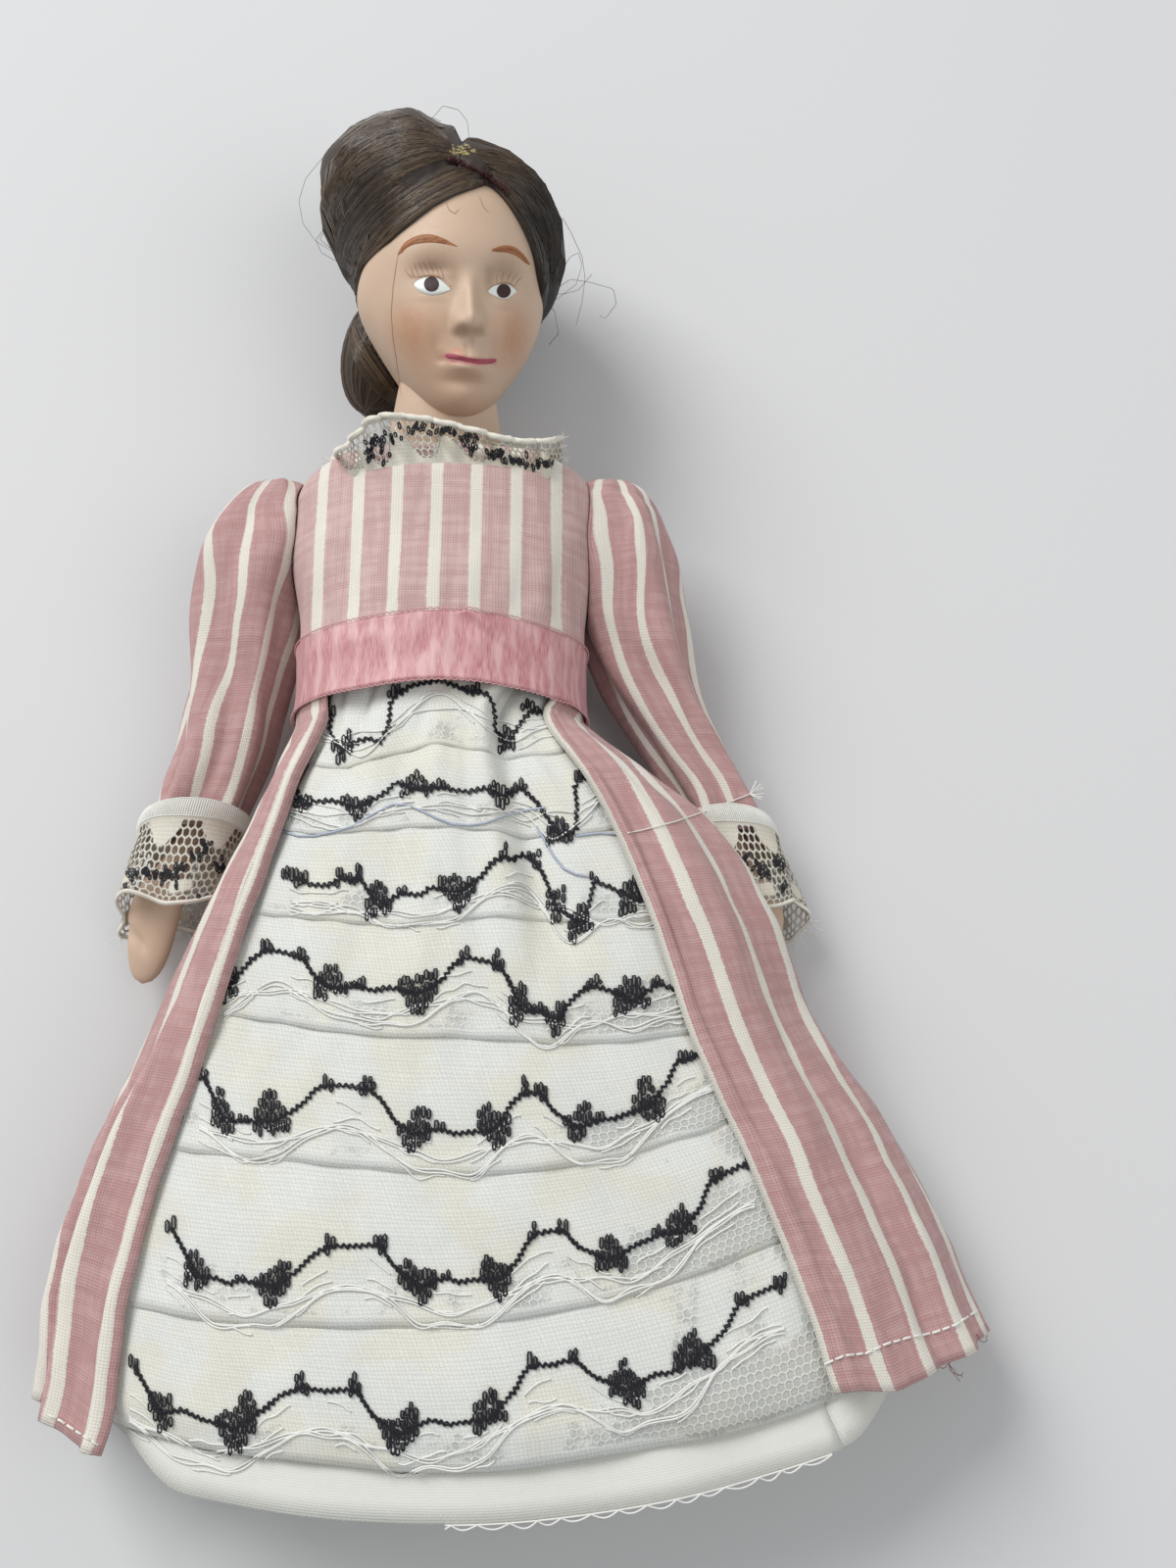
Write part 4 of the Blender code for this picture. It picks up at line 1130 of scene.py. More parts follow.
def bodice_point(turn, level, extra):
    close = max(0.0, (level - 0.66) / 0.34) * pi / 2.0
    draw = 1.0 - (1.0 - NECKLINE) * (1.0 - cos(close))
    draw_front = 1.0 - (1.02 - NECKLINE) * (1.0 - cos(close))
    chest = smooth(0.18, 0.5, level)
    snug = SASH_LIFT - FIT - CLOTH
    half = (WAIST_HALF_WIDTH + snug) * (1.0 - chest) + (BODICE_HALF_WIDTH - CLOTH) * chest
    depth = (WAIST_HALF_DEPTH + snug) * (1.0 - chest) + (BODICE_HALF_DEPTH - CLOTH) * chest
    push = extra * cos(close)
    y = BODICE_Y + (SHOULDER_Y - BODICE_Y) * min(level / 0.66, 1.0)
    y += (NECK_RISE + extra) * sin(close)
    square = 1.0 - 0.18 * chest
    x = copysign(abs(cos(turn)) ** square, cos(turn))
    return Vector((BODY_X + (half * draw + push) * x, y,
                   BODY_Z + (depth * draw_front + push) * sin(turn)))


def bodice_fold(turn, level):
    """Gathers above the sash and a pucker by the doll's left armhole."""
    front = max(0.0, sin(turn))
    x = cos(turn)
    low = 1.0 - smooth(0.0, 0.45, level)
    gather = 0.32 * cos(9.0 * pi * x) * low * front
    drape = 0.22 * uneven.noise(Vector((x * 4.0, level * 2.0, 5.0)))
    slant = x - 0.35 * (0.35 - level)
    pucker = 0.7 * bump(slant, 0.66, 0.06) - 0.6 * bump(slant, 0.78, 0.05)
    held = smooth(15.8, 19.0, bodice_point(turn, level, 0.0).y)
    return (gather + drape + pucker * bump(level, 0.18, 0.22) * front) * held


def bodice_place(u, v):
    turn = 2 * pi * u - pi / 2
    return bodice_point(turn, v, 0.1 + bodice_fold(turn, v))


STRIPE_ZERO = -11.75      # where the middle stripe of the bodice lies
STRIPES_ACROSS = 55.2     # ten repeats of its stripes, so that no measure falls below zero


def bodice_size(u, v):
    spot = bodice_point(2 * pi * u - pi / 2, v, 0.0)
    return ((spot.x - STRIPE_ZERO + STRIPES_ACROSS) / 100.0, spot.y / 100.0)


# the bodice's pinks are lighter than the skirt's: partly its white lining showing through, partly painted
# light on the upper, better lit part of the dress
PINK_BODICE = striped_cotton("striped_cotton_bodice", 0.0, 5.52, 1.65,
                             ((0.47, 0.285, 0.27, 1.0), (0.60, 0.42, 0.395, 1.0), (0.66, 0.49, 0.46, 1.0)))
bm = laid(170, 54, bodice_place, False, bodice_size)
bmesh.ops.remove_doubles(bm, verts=bm.verts[:], dist=1e-6)
armholes = []
for face in bm.faces:
    middle = face.calc_center_median() / MM
    if abs(abs(middle.x - SHIFT.x - BODY_X) - 24) < 5.5 and hypot(middle.y - 30.6, middle.z - 16.2) < 3.7:
        armholes.append(face)
bmesh.ops.delete(bm, geom=armholes, context="FACES")
bodice = keep(bm, "bodice_cloth", PINK_BODICE, ("bodice",))
thicken(bodice, CLOTH, -1.0)

# %% Line of each arm
def arm_line(side, level):
    """Middle of the sleeve from the cap to the end of the cuff; side 1 is the doll's left."""
    if side > 0:
        x = follow((13.4, 14.4, 15.3, 18.2, 24.4, 30.6, 33.4), level)
        z = follow((16.5, 16.0, 14.4, 11.6, 8.8, 7.0, 6.2), level)
    else:
        x = follow((-37.2, -39.4, -41.0, -41.6, -43.8, -47.6, -49.4), level)
        z = follow((16.5, 16.0, 14.6, 12.4, 10.6, 8.8, 7.6), level)
    return Vector((x, follow((43.0, 35.6, 26.0, 14.0, 2.0, -10.0, -22.0), level), z))


SLEEVE_RADIUS, WRIST_RADIUS, SLEEVE_END = 7.9, 6.3, 5.0 / 6.0


def sleeve_fold(side, turn, along):
    """Long folds of the sleeve, deepest where it bends."""
    seed = 3.0 if side > 0 else 11.0
    drift = 1.3 * uneven.noise(Vector((seed, along * 3.0, 0.0)))
    soft = 0.85 * cos(5 * turn + 2.0 * along + drift) * smooth(0.06, 0.3, along)
    finer = 0.5 * uneven.noise(Vector((cos(turn) * 3.0, sin(turn) * 3.0 + seed, along * 7.0)))
    cap = 0.55 * cos(11 * turn) * bump(along, 0.05, 0.07)
    bend = 0.9 * bump(along, 0.62 + 0.1 * cos(turn), 0.05) * sin(turn + 0.6)
    wrist = 0.5 * cos(9 * turn) * smooth(0.88, 1.0, along)
    tuck = 0.0
    if side > 0:
        tuck = -0.7 * bump(along, 0.115 + 0.03 * cos(turn), 0.018) * max(0.0, sin(turn))
    return soft + finer + cap - bend * 0.6 + wrist + tuck


def sleeve_slew(side, turn, along):
    """How far the cloth has slipped round the arm, which bends its stripes."""
    seed = 2.0 if side > 0 else 7.0
    free = smooth(0.08, 0.24, along) * smooth(1.0, 0.86, along)
    slow = 0.11 * sin(9.5 * along + seed + 0.8 * cos(turn))
    return free * (slow + 0.12 * uneven.noise(Vector((cos(turn) * 1.6, seed, along * 6.0))))


def sleeve_place(side):
    def place(u, v):
        turn = 2 * pi * u - pi / 2
        turn += sleeve_slew(side, turn, v)
        along = v
        cap = min(1.0, along / 0.16)
        dome = sqrt(max(0.0, 1.0 - (1.0 - cap) ** 2)) * (0.66 + 0.34 * smooth(0.0, 0.4, along))
        narrow = 0.86 if side > 0 else 1.0
        radius = SLEEVE_RADIUS + (WRIST_RADIUS * narrow - SLEEVE_RADIUS) * smooth(0.35, 1.0, along)
        inner = max(0.0, -side * cos(turn)) * (1.0 - smooth(0.28, 0.48, along))
        wide = (radius + sleeve_fold(side, turn, along) + 3.6 * inner) * dome
        spot = arm_line(side, SLEEVE_END * along)
        x = spot.x + wide * cos(turn)
        y = spot.y + 0.6 * cap * sin(turn)
        z = spot.z + 0.86 * wide * sin(turn)
        wall = bodice_wall(y, z)
        if side > 0:
            x = max(x, BODY_X + wall)
        else:
            x = min(x, BODY_X - wall)
        return Vector((x, y, max(z, 0.5)))
    return place


def bodice_wall(y, z):
    """Half width of the bodice, with a small clearance, at a height and depth."""
    level = (y - BODICE_Y) / (SHOULDER_Y - BODICE_Y) * 0.66
    if level < -0.1 or y > SHOULDER_Y + NECK_RISE:
        return 0.0
    if y > SHOULDER_Y:
        level = 0.66 + 0.34 * asin(min(1.0, (y - SHOULDER_Y) / NECK_RISE)) / (pi / 2)
    level = max(0.0, level)
    side = bodice_point(0.0, level, CLOTH).x - BODY_X
    front = bodice_point(pi / 2, level, CLOTH).z - BODY_Z
    high = min(1.0, abs(z - BODY_Z) / front)
    square = 1.0 - 0.18 * smooth(0.18, 0.5, level)
    return side * max(0.0, 1.0 - high * high) ** (square / 2.0) + 0.3 if high < 1.0 else 0.0


sleeves = []
for side, label in ((1, "left"), (-1, "right")):
    place = sleeve_place(side)
    begin = 1.2 if side > 0 else 3.1
    pink = striped_cotton("striped_cotton_sleeve_" + label, begin, 6.0, 1.55)
    bm = laid(112, 84, place, False, lambda u, v: (u * 0.54, v * 0.64))
    bmesh.ops.remove_doubles(bm, verts=bm.verts[:], dist=1e-6)
    sleeve = keep(bm, "sleeve_cloth_" + label, pink, ("sleeve_" + label,))
    thicken(sleeve, CLOTH, -1.0)
    sleeves.append(sleeve)
print("bodice and sleeves laid")

# %% [markdown]
# ## Sash
#
# A satin ribbon, a finger's breadth wide, goes round the waist. Satin shows
# each crease as a change of gloss, so the ribbon has a slack diagonal fold in
# front, fine ribs across its length, and a looped edge along both sides.

# %% Satin
def make_satin():
    made, tree, main = finish("satin_ribbon", 0.36, Anisotropic=0.5, Sheen_Weight=0.25)
    cloth = coordinates(tree)
    fine = noise(tree, cloth, 60.0, 3.0, (26.0, 0.9, 1.0))
    wide = noise(tree, cloth, 22.0, 2.0, (3.0, 0.6, 1.0))
    # fine streaks from a darker to a paler pink are painted sheen, and the wide pale patches are painted
    # highlights
    colour = blend(tree, between(tree, fine, 0.35, 0.65), (0.40, 0.135, 0.15, 1.0), (0.63, 0.32, 0.33, 1.0))
    colour = blend(tree, times(tree, between(tree, wide, 0.42, 0.68), 0.7), colour,
                   (0.74, 0.47, 0.47, 1.0))
    coloured(tree, main, colour)
    tree.links.new(between(tree, fine, 0.2, 0.8, 0.30, 0.46), main.inputs["Roughness"])
    relief(tree, main, plus(tree, fine, times(tree, wide, 2.0)), 0.07, 0.8)
    return made


SATIN = make_satin()
SASH_BOTTOM, SASH_WIDTH = 5.6, 10.0


def sash_point(turn, level, extra=0.0):
    front = max(0.0, sin(turn))
    x = cos(turn)
    half = WAIST_HALF_WIDTH + SASH_LIFT + extra
    depth = WAIST_HALF_DEPTH + SASH_LIFT + extra
    y = SASH_BOTTOM + SASH_WIDTH * level + 0.8 * sin(turn) - 0.8
    y += 0.35 * sin(4.0 * x + 1.0) * front
    flare = 0.25 * (2 * level - 1) ** 2
    slant = x * 0.75 + (level - 0.5) * 0.5
    slack = 0.7 * bump(slant, 0.42, 0.05) * front
    slack -= 0.3 * bump(slant, 0.34, 0.05) * front
    slack += 0.3 * uneven.noise(Vector((x * 3.5, level * 2.5, 8.0))) \
        + 0.28 * bump(level, 0.72, 0.1) * front * smooth(-0.1, -0.7, x)
    slack += 0.16 * sin(26.0 * x) * front * (1.0 - abs(2 * level - 1)) * 0.6
    slack = max(slack, -0.2 + 0.15 * slack)
    return Vector((BODY_X + (half + flare + slack * 0.6) * cos(turn), y,
                   BODY_Z + (depth + flare + slack) * sin(turn)))


bm = laid(260, 20, lambda u, v: sash_point(2 * pi * u - pi / 2, v), False,
          lambda u, v: (u * 1.12, v * 0.1))
bmesh.ops.remove_doubles(bm, verts=bm.verts[:], dist=1e-6)
sash = keep(bm, "sash_cloth", SATIN, ("sash_ribbon",))
thicken(sash, 0.3, 1.0)

# %% Looped edges of the sash
RIBBON_THREAD = yarn_finish("ribbon_thread", (0.62, 0.33, 0.34, 1.0), 0.5)
LOOPS = 150      # loops along each edge, four points to a loop
edging = []
for level, way in ((0.0, -1), (1.0, 1)):
    loops = []
    for number in range(LOOPS * 4):
        turn = 2 * pi * number / (LOOPS * 4) - pi / 2
        spot = sash_point(turn, level, 0.12)
        spot.y += way * (0.12 + 0.2 * abs(sin(pi * number / 4)))
        loops.append(spot)
    edging.append(loops)
sash_edging = threads("sash_looped_edge", edging, 0.1, RIBBON_THREAD)
print("sash laid")

# %% [markdown]
# ## Head, neck and shoulder plate
#
# The head is poured in clay and fired unglazed, so it is matt, and its colour
# is brushed on and fired in. It is one casting with the neck and the plate
# under the bodice. The form is a ball laid by angle, with brow, nose, lips and
# chin raised on it; sculpting by hand would do it too, but would be hard to
# keep on the measures of the solid head.

# %% Form of the head, in millimetres
HEAD_WIDTH, HEAD_ABOVE, HEAD_BELOW = 26.4, 17.6, 18.6
FACE_DEPTH, HEAD_BACK = 12.6, 13.6
HEAD_CENTRE = Vector((-10.3, 69.3, 25.0))
HEAD_FRAME = (Matrix.Rotation(radians(25.0), 3, "X")
              @ Matrix.Rotation(radians(-3.3), 3, "Z")
              @ Matrix.Rotation(radians(13.5), 3, "Y"))
NECK_RADIUS, PLATE_HALF_WIDTH, PLATE_HALF_DEPTH = 6.3, 16.5, 10.4


def head_base(turn, fall):
    """The plain head without its features."""
    rise = cos(fall)
    jaw = 1.0 - 0.28 * smooth(0.0, -0.6, rise)
    side = sin(fall) ** jaw * sin(turn)
    front = sin(fall) * cos(turn)
    low = smooth(0.0, -1.0, rise)
    half = HEAD_WIDTH / 2.0 * (1.0 - 0.28 * low ** 1.3)
    x = half * side
    y = (HEAD_ABOVE if rise > 0 else HEAD_BELOW - 0.5) * rise
    z = HEAD_BACK * (1.0 - 0.25 * low) * front
    x -= 1.5 * bump(turn, -1.75, 0.55) * bump(fall, 1.62, 0.42)
    if front > 0:
        z = FACE_DEPTH * sin(fall) ** (0.8 if rise > 0 else 0.5) * cos(turn)
        z += smooth(0.0, 0.45, z / FACE_DEPTH) * 2.5 * low
    return x, y, z, front


EYE_X = 5.2
# Height of a feature, its distance from the middle, its width, its level and how tall it is.
PAIRED = ((0.85, 1.65, 0.75, -5.0, 1.0), (-0.35, 0.75, 0.35, -6.15, 0.35), (-0.3, 2.7, 0.6, -5.2, 1.3),
          (-1.2, EYE_X, 3.0, 0.8, 2.3), (0.85, EYE_X, 2.3, -0.1, 1.4), (0.22, EYE_X, 2.4, 1.55, 0.4),
          (-0.22, EYE_X, 2.2, 2.5, 0.5), (0.14, EYE_X, 2.2, -1.7, 0.4), (-0.3, 3.5, 0.6, -10.4, 0.6))
MIDDLE = ((1.0, 3.4, -10.6, 2.1), (0.42, 2.1, -11.35, 0.55), (-0.4, 3.0, -10.45, 0.26),
          (-0.22, 0.45, -8.2, 1.0), (-0.5, 3.0, -13.2, 0.9))


def face_relief(x, y, z):
    """How far the features stand forward at a point of the face."""
    face = smooth(0.0, 0.45, z / FACE_DEPTH)
    width = 1.25 + 0.5 * smooth(0.0, -5.5, y)
    ridge = smooth(3.5, -4.6, y) * smooth(-7.0, -5.5, y)
    made = 2.9 * ridge * bump(x, 0.0, width)
    made += 0.5 * bump(x, 0.0, 1.4) * bump(y, -4.5, 1.1)
    for rise, middle, across, level, tall in PAIRED:
        for side in (-1.0, 1.0):
            made += rise * bump(x, side * middle, across) * bump(y, level, tall)
    for side in (-1.0, 1.0):
        made += face * 0.7 * bump(x, side * EYE_X * 1.3, 4.0) * bump(y, -6.0, 4.0)
        made -= face * 0.25 * bump(x, side * 4.2, 0.8) * bump(y, -8.6, 2.2)
    for rise, across, level, tall in MIDDLE:
        made += rise * bump(x, 0.0, across) * bump(y, level, tall)
    made += 0.35 * bump(abs(x), 0.9, 1.1) * bump(y, -9.75, 0.5)
    return made + face * (0.5 * bump(y, 6.0, 3.0) + 1.1 * bump(x, 0.0, 3.6) * bump(y, -16.2, 2.6))


def head_point(turn, fall, extra=0.0):
    """Skin of the head in the doll's frame, pushed outward by extra."""
    x, y, z, front = head_base(turn, fall)
    if front > 0:
        z += face_relief(x, y, z)
    local = Vector((x, y, z))
    local += local.normalized() * extra
    return HEAD_CENTRE + HEAD_FRAME @ local


def head_turn(across):
    """Columns lie closest together on the face."""
    part = 2.0 * across - 1.0
    return pi * (part - 0.22 * sin(pi * part))


def plate_point(turn, level):
    """Neck and shoulder plate; level 0 at the breast, 1 inside the head."""
    half = follow((PLATE_HALF_WIDTH - 0.8, PLATE_HALF_WIDTH, PLATE_HALF_WIDTH * 0.86,
                   NECK_RADIUS * 1.42, NECK_RADIUS * 1.36, NECK_RADIUS * 1.1), level)
    depth = follow((PLATE_HALF_DEPTH, PLATE_HALF_DEPTH, PLATE_HALF_DEPTH * 0.86,
                    NECK_RADIUS, NECK_RADIUS, NECK_RADIUS * 0.75), level)
    y = follow((26.5, 33.0, 39.0, 42.5, 48.0, 57.0), level)
    z = BODY_Z + 5.0 * smooth(0.68, 1.0, level)
    x = BODY_X + half * cos(turn) + 0.8 * level - 0.9 * smooth(0.5, 0.8, level)
    return Vector((x, y, z + depth * sin(turn)))


bm = laid(184, 156, lambda u, v: head_point(head_turn(u), pi * v), True)
plate = laid(80, 40, lambda u, v: plate_point(2 * pi * u, v), True)
bmesh.ops.holes_fill(plate, edges=[edge for edge in plate.edges if edge.is_boundary], sides=0)
bm = merged(bm, plate)
skin_tree = BVHTree.FromBMesh(bm)

# %% [markdown]
# The bare clay is a warm buff. Blush is brushed on the cheeks, a little taupe
# over the eyes, and rose under the lip. The same taupe under the nose, in the
# groove above the lip, at a corner of the mouth and under the lower lip is
# painted shade. Each is a soft round mask with a centre and a reach, placed on
# the casting along the line of sight from a picture point.

# %% Bisque
def make_brushed():
    """A soft brushed spot: 1 at its centre, 0 past its reach."""
    tree, start, end = group("brushed_spot", [("Place", "Vector", None), ("Centre", "Vector", None),
                                              ("Squeeze", "Vector", None)], [("Mask", "Float")])
    away = calc(tree, "SUBTRACT", start.outputs["Place"], start.outputs["Centre"], kind="VectorMath")
    away = calc(tree, "DIVIDE", away, start.outputs["Squeeze"], kind="VectorMath")
    length = calc(tree, "LENGTH", away, kind="VectorMath").node.outputs["Value"]
    tree.links.new(between(tree, length, 1.0, 0.0), end.inputs["Mask"])
    return tree


BRUSHED = make_brushed()


def skin_spot(px, py, lift=0.0):
    """The spot on the casting under a picture point."""
    hit = look(skin_tree, px, py)[0]
    return None if hit is None else hit - sight(px, py) * lift * MM


def bisque(name, spots=()):
    made, tree, main = finish(name, 0.52, Subsurface_Weight=0.06, Subsurface_Scale=1.0,
                              Subsurface_Radius=(0.0012, 0.0006, 0.0003))
    place = coordinates(tree, "Object")
    blotch = placed(tree, BLOTCH, Place=place, Size=4.0, Strength=0.09)
    colour = tinted(tree, (0.565, 0.41, 0.295), blotch.outputs["Tone"])
    for centre, reach, tint, strength in spots:
        spot = placed(tree, BRUSHED, Place=place, Centre=centre, Squeeze=[value * MM for value in reach])
        brush = times(tree, spot.outputs["Mask"],
                      between(tree, noise(tree, place, 900.0, 3.0), 0.1, 0.8, 0.8, 1.1))
        colour = blend(tree, times(tree, brush, strength), colour, tint)
    coloured(tree, main, colour)
    grain = noise(tree, place, 9000.0, 2.0)
    pits = noise(tree, place, 2200.0, 2.0)
    relief(tree, main, plus(tree, times(tree, grain, 0.4), pits), 0.012, 0.5)
    tree.links.new(between(tree, pits, 0.3, 0.7, 0.47, 0.6), main.inputs["Roughness"])
    return made


BLUSH = (0.43, 0.185, 0.085, 1.0)
TAUPE_PAINT_AND_SHADE = (0.27, 0.16, 0.095, 1.0)
PINK_LIP = (0.56, 0.17, 0.17, 1.0)
spots = []
for px, py, reach, tint, strength in (
        (420, 338, (8.6, 7.2, 8.0), BLUSH, 0.62), (526, 346, (6.2, 7.4, 8.0), BLUSH, 0.62),
        (445, 372, (7.5, 6.0, 8.0), BLUSH, 0.22), (478, 400, (7.0, 6.0, 8.0), BLUSH, 0.16),
        (441, 268, (5.8, 3.6, 4.5), TAUPE_PAINT_AND_SHADE, 0.48), (515, 274, (5.0, 3.4, 4.5), TAUPE_PAINT_AND_SHADE, 0.44),
        (463, 285, (1.3, 3.4, 3.0), TAUPE_PAINT_AND_SHADE, 0.35), (499, 288, (1.2, 3.6, 3.0), TAUPE_PAINT_AND_SHADE, 0.5),
        # the taupe spots under the nose, in the groove above the lip, at a corner of the mouth and under the
        # lower lip are painted shade
        (472, 336, (3.2, 0.95, 2.5), TAUPE_PAINT_AND_SHADE, 0.5), (492, 336, (2.6, 0.95, 2.5), TAUPE_PAINT_AND_SHADE, 0.5),
        (482, 384, (4.2, 1.1, 2.5), TAUPE_PAINT_AND_SHADE, 0.32), (466, 358, (1.6, 0.9, 1.5), (0.60, 0.22, 0.16, 1.0), 0.6),
        (448, 359, (1.5, 0.8, 1.5), TAUPE_PAINT_AND_SHADE, 0.3), (482, 348, (0.5, 1.3, 1.2), TAUPE_PAINT_AND_SHADE, 0.25),
        (462, 368, (1.6, 0.7, 1.2), PINK_LIP, 0.7), (456, 363, (1.3, 0.8, 1.2), PINK_LIP, 0.7),
        (468, 365, (1.6, 0.8, 1.2), PINK_LIP, 0.75), (480, 368, (1.6, 0.8, 1.2), PINK_LIP, 0.75),
        (492, 369, (1.6, 0.8, 1.2), PINK_LIP, 0.75), (503, 369, (1.3, 0.7, 1.2), PINK_LIP, 0.7)):
    spots.append((skin_spot(px, py), reach, tint, strength))
SKIN = bisque("bisque_head", spots)
BARE_SKIN = bisque("bisque_plain")
head = keep(bm, "head_casting", SKIN, ("head_shoulder_plate",))
print("head faces:", len(head.data.polygons))

# %% [markdown]
# ## Painted features
#
# The eyes, brows, lashes and lip line are enamel, painted thinly and fired.
# Each is a skin of colour a few hundredths of a millimetre thick, cut to its
# outline and laid on the casting, so that its edge stays sharp at any distance.

# %% Painting on the casting
def enamel(name, colour, roughness=0.35, uneven_tone=0.12):
    made, tree, main = finish(name, roughness)
    blotch = placed(tree, BLOTCH, Place=coordinates(tree, "Object"), Size=1.5, Strength=uneven_tone)
    coloured(tree, main, tinted(tree, colour, blotch.outputs["Tone"]))
    relief(tree, main, noise(tree, coordinates(tree, "Object"), 3000.0, 1.0), 0.01, 0.3)
    return made


EYE_WHITE = enamel("eye_white", (0.70, 0.72, 0.68, 1.0), 0.3, 0.05)
IRIS = enamel("iris_brown", (0.030, 0.009, 0.009, 1.0), 0.6)
BROW = enamel("brow_brown", (0.335, 0.135, 0.050, 1.0), 0.6, 0.35)
LASH = enamel("lash_brown", (0.40, 0.23, 0.14, 1.0), 0.6, 0.3)
LIP = enamel("lip_crimson", (0.36, 0.07, 0.105, 1.0), 0.55, 0.3)
LIP_PALE = enamel("lip_rose", (0.60, 0.27, 0.25, 1.0), 0.5, 0.2)


def rounded_outline(points, cuts=3):
    """A closed outline with its corners smoothed a little."""
    for turn in range(cuts):
        made = []
        for one, two in zip(points, points[1:] + points[:1]):
            made.append((one[0] * 0.78 + two[0] * 0.22, one[1] * 0.78 + two[1] * 0.22))
            made.append((one[0] * 0.22 + two[0] * 0.78, one[1] * 0.22 + two[1] * 0.78))
        points = made
    return points


def painted(name, outline, finish_of, lift=0.05, cuts=3):
    """A patch of paint, from its outline in picture points."""
    bm = bmesh.new()
    corners = [bm.verts.new((x, -y, 0.0)) for x, y in rounded_outline(outline, cuts)]
    rim = [bm.edges.new(pair) for pair in zip(corners, corners[1:] + corners[:1])]
    bmesh.ops.triangle_fill(bm, edges=rim, use_beauty=True)
    bmesh.ops.subdivide_edges(bm, edges=bm.edges[:], cuts=3, use_grid_fill=True)
    bmesh.ops.triangulate(bm, faces=bm.faces[:])
    for vert in bm.verts:
        vert.co = skin_spot(vert.co.x, -vert.co.y, lift)
    facing(bm, (0, 0, 1))
    piece = keep(bm, name, finish_of)
    return thicken(piece, 0.03, -1.0)


painted("eye_white_right", [(421.5, 290), (425, 286), (431, 283), (440, 282), (448, 284), (454, 288.5),
                            (460.5, 295.5), (455, 298), (448, 300.5), (440, 301.5), (432, 299.5),
                            (425, 295.5)], EYE_WHITE, 0.05, 2)
painted("eye_white_left", [(497, 297.5), (502, 292.5), (508, 290), (516, 289), (522, 291), (528, 297),
                           (524, 301), (518, 305), (512, 305.5), (505, 303)], EYE_WHITE, 0.05, 2)
for name, x, y, size in (("iris_right", 440.2, 289.8, 7.7), ("iris_left", 514.1, 296.8, 7.2)):
    painted(name, [(x + size * cos(pi * step / 9), y + size * sin(pi * step / 9))
                   for step in range(18)], IRIS, 0.13, 2)
painted("brow_right", [(405, 262), (408, 254), (413, 247), (421, 242), (431, 239), (441, 239), (450, 242),
                       (458, 246), (469, 252.5), (458, 249.5), (449, 248.2), (440, 247.2), (430, 248),
                       (421, 249.5), (413, 254)], BROW, 0.035, 2)
painted("brow_left", [(500, 256.5), (506, 252.5), (513, 250.3), (520, 250.2), (527, 252.6), (533, 258),
                      (538, 264), (541.5, 271), (536, 268.5), (531, 264), (525, 260), (518, 257.8),
                      (510, 256.8)], BROW, 0.035, 2)
painted("lip_line", [(453.5, 362), (457, 360.6), (464, 361), (472, 363.2), (480, 365.8), (490, 366.3),
                     (500, 366.2), (507.5, 366), (506, 369.5), (500, 371.6), (491, 371.6), (481, 370.4),
                     (472, 368), (463, 366.6), (456, 365.4)], LIP, 0.05, 2)
painted("lip_soft", [(457, 364.5), (464, 366), (472, 367.8), (481, 370), (491, 371.2), (497, 371.6),
                     (490, 373.4), (480, 372.6), (470, 370.6), (461, 368.4)], LIP_PALE, 0.035, 2)


# %% Painted strokes
def strokes(name, lines, radius, finish_of, lift=0.03):
    """Brush hairlines that follow the casting, thin at both ends."""
    paths = []
    for line in lines:
        path = [skin_spot(x, y, lift) for x, y in drawn(line, 1.2)]
        paths.append([spot / MM - SHIFT for spot in path if spot])
    return threads(name, [path for path in paths if len(path) > 2], radius, finish_of,
                   lambda part: 0.25 + 0.75 * sin(pi * min(1.0, part * 0.9 + 0.08)))


lash_lines = [
    [(419, 281), (424, 283), (431, 281.6), (440, 280.4), (449, 282.6), (456, 287), (462.5, 293)],
    [(424, 284), (421, 279), (418.5, 272)], [(428, 281.5), (424.5, 275), (422.5, 268)],
    [(433, 280.5), (429.5, 273.5), (427, 266.5)], [(438, 280), (434.5, 273), (431, 266)],
    [(443, 280.5), (440.5, 273), (437, 266)], [(448, 282), (446, 275), (442.5, 267.5)],
    [(453, 285), (451.5, 279), (448.5, 271)], [(421, 284.5), (416, 279), (413, 275)],
    [(508, 289), (514, 287.8), (520, 288.8), (526, 292)],
    [(512, 287.8), (512.5, 283), (514.5, 277)], [(517, 288), (519, 283), (522, 277.5)],
    [(521, 289.5), (524, 284), (528, 279)], [(525, 291.5), (528.5, 286.5), (532.5, 282.5)],
    [(507, 289), (506.5, 284.5), (507.5, 280)]]
strokes("painted_lashes", lash_lines, 0.055, LASH, 0.02)
lid_lines = [[(421, 290), (425, 285.8), (431, 282.6), (440, 281.4), (448, 283.4), (454, 288), (461, 295)],
             [(497, 297), (502, 292), (508, 289.6), (516, 288.6), (522, 290.6), (528, 296.5)]]
strokes("painted_lids", lid_lines, 0.07, LASH, 0.05)
random.seed(3)
brow_hairs = []
for outline, lean in (([(408, 259), (414, 251), (423, 245.5), (433, 243), (444, 243.5), (455, 247)], -1),
                      ([(505, 254.5), (513, 253.6), (521, 254), (528, 257), (534, 262.5), (538.5, 268)], 1)):
    for x, y in drawn(outline, 1.1):
        tilt = uniform(-1.2, 1.2)
        brow_hairs.append([(x + 2.6 * lean, y + 2.0 + tilt), (x, y + tilt * 0.6),
                           (x - 2.8 * lean, y - 1.6 + tilt)])
strokes("brow_hairlines", brow_hairs, 0.06, BROW, 0.035)
print("painted pieces done")

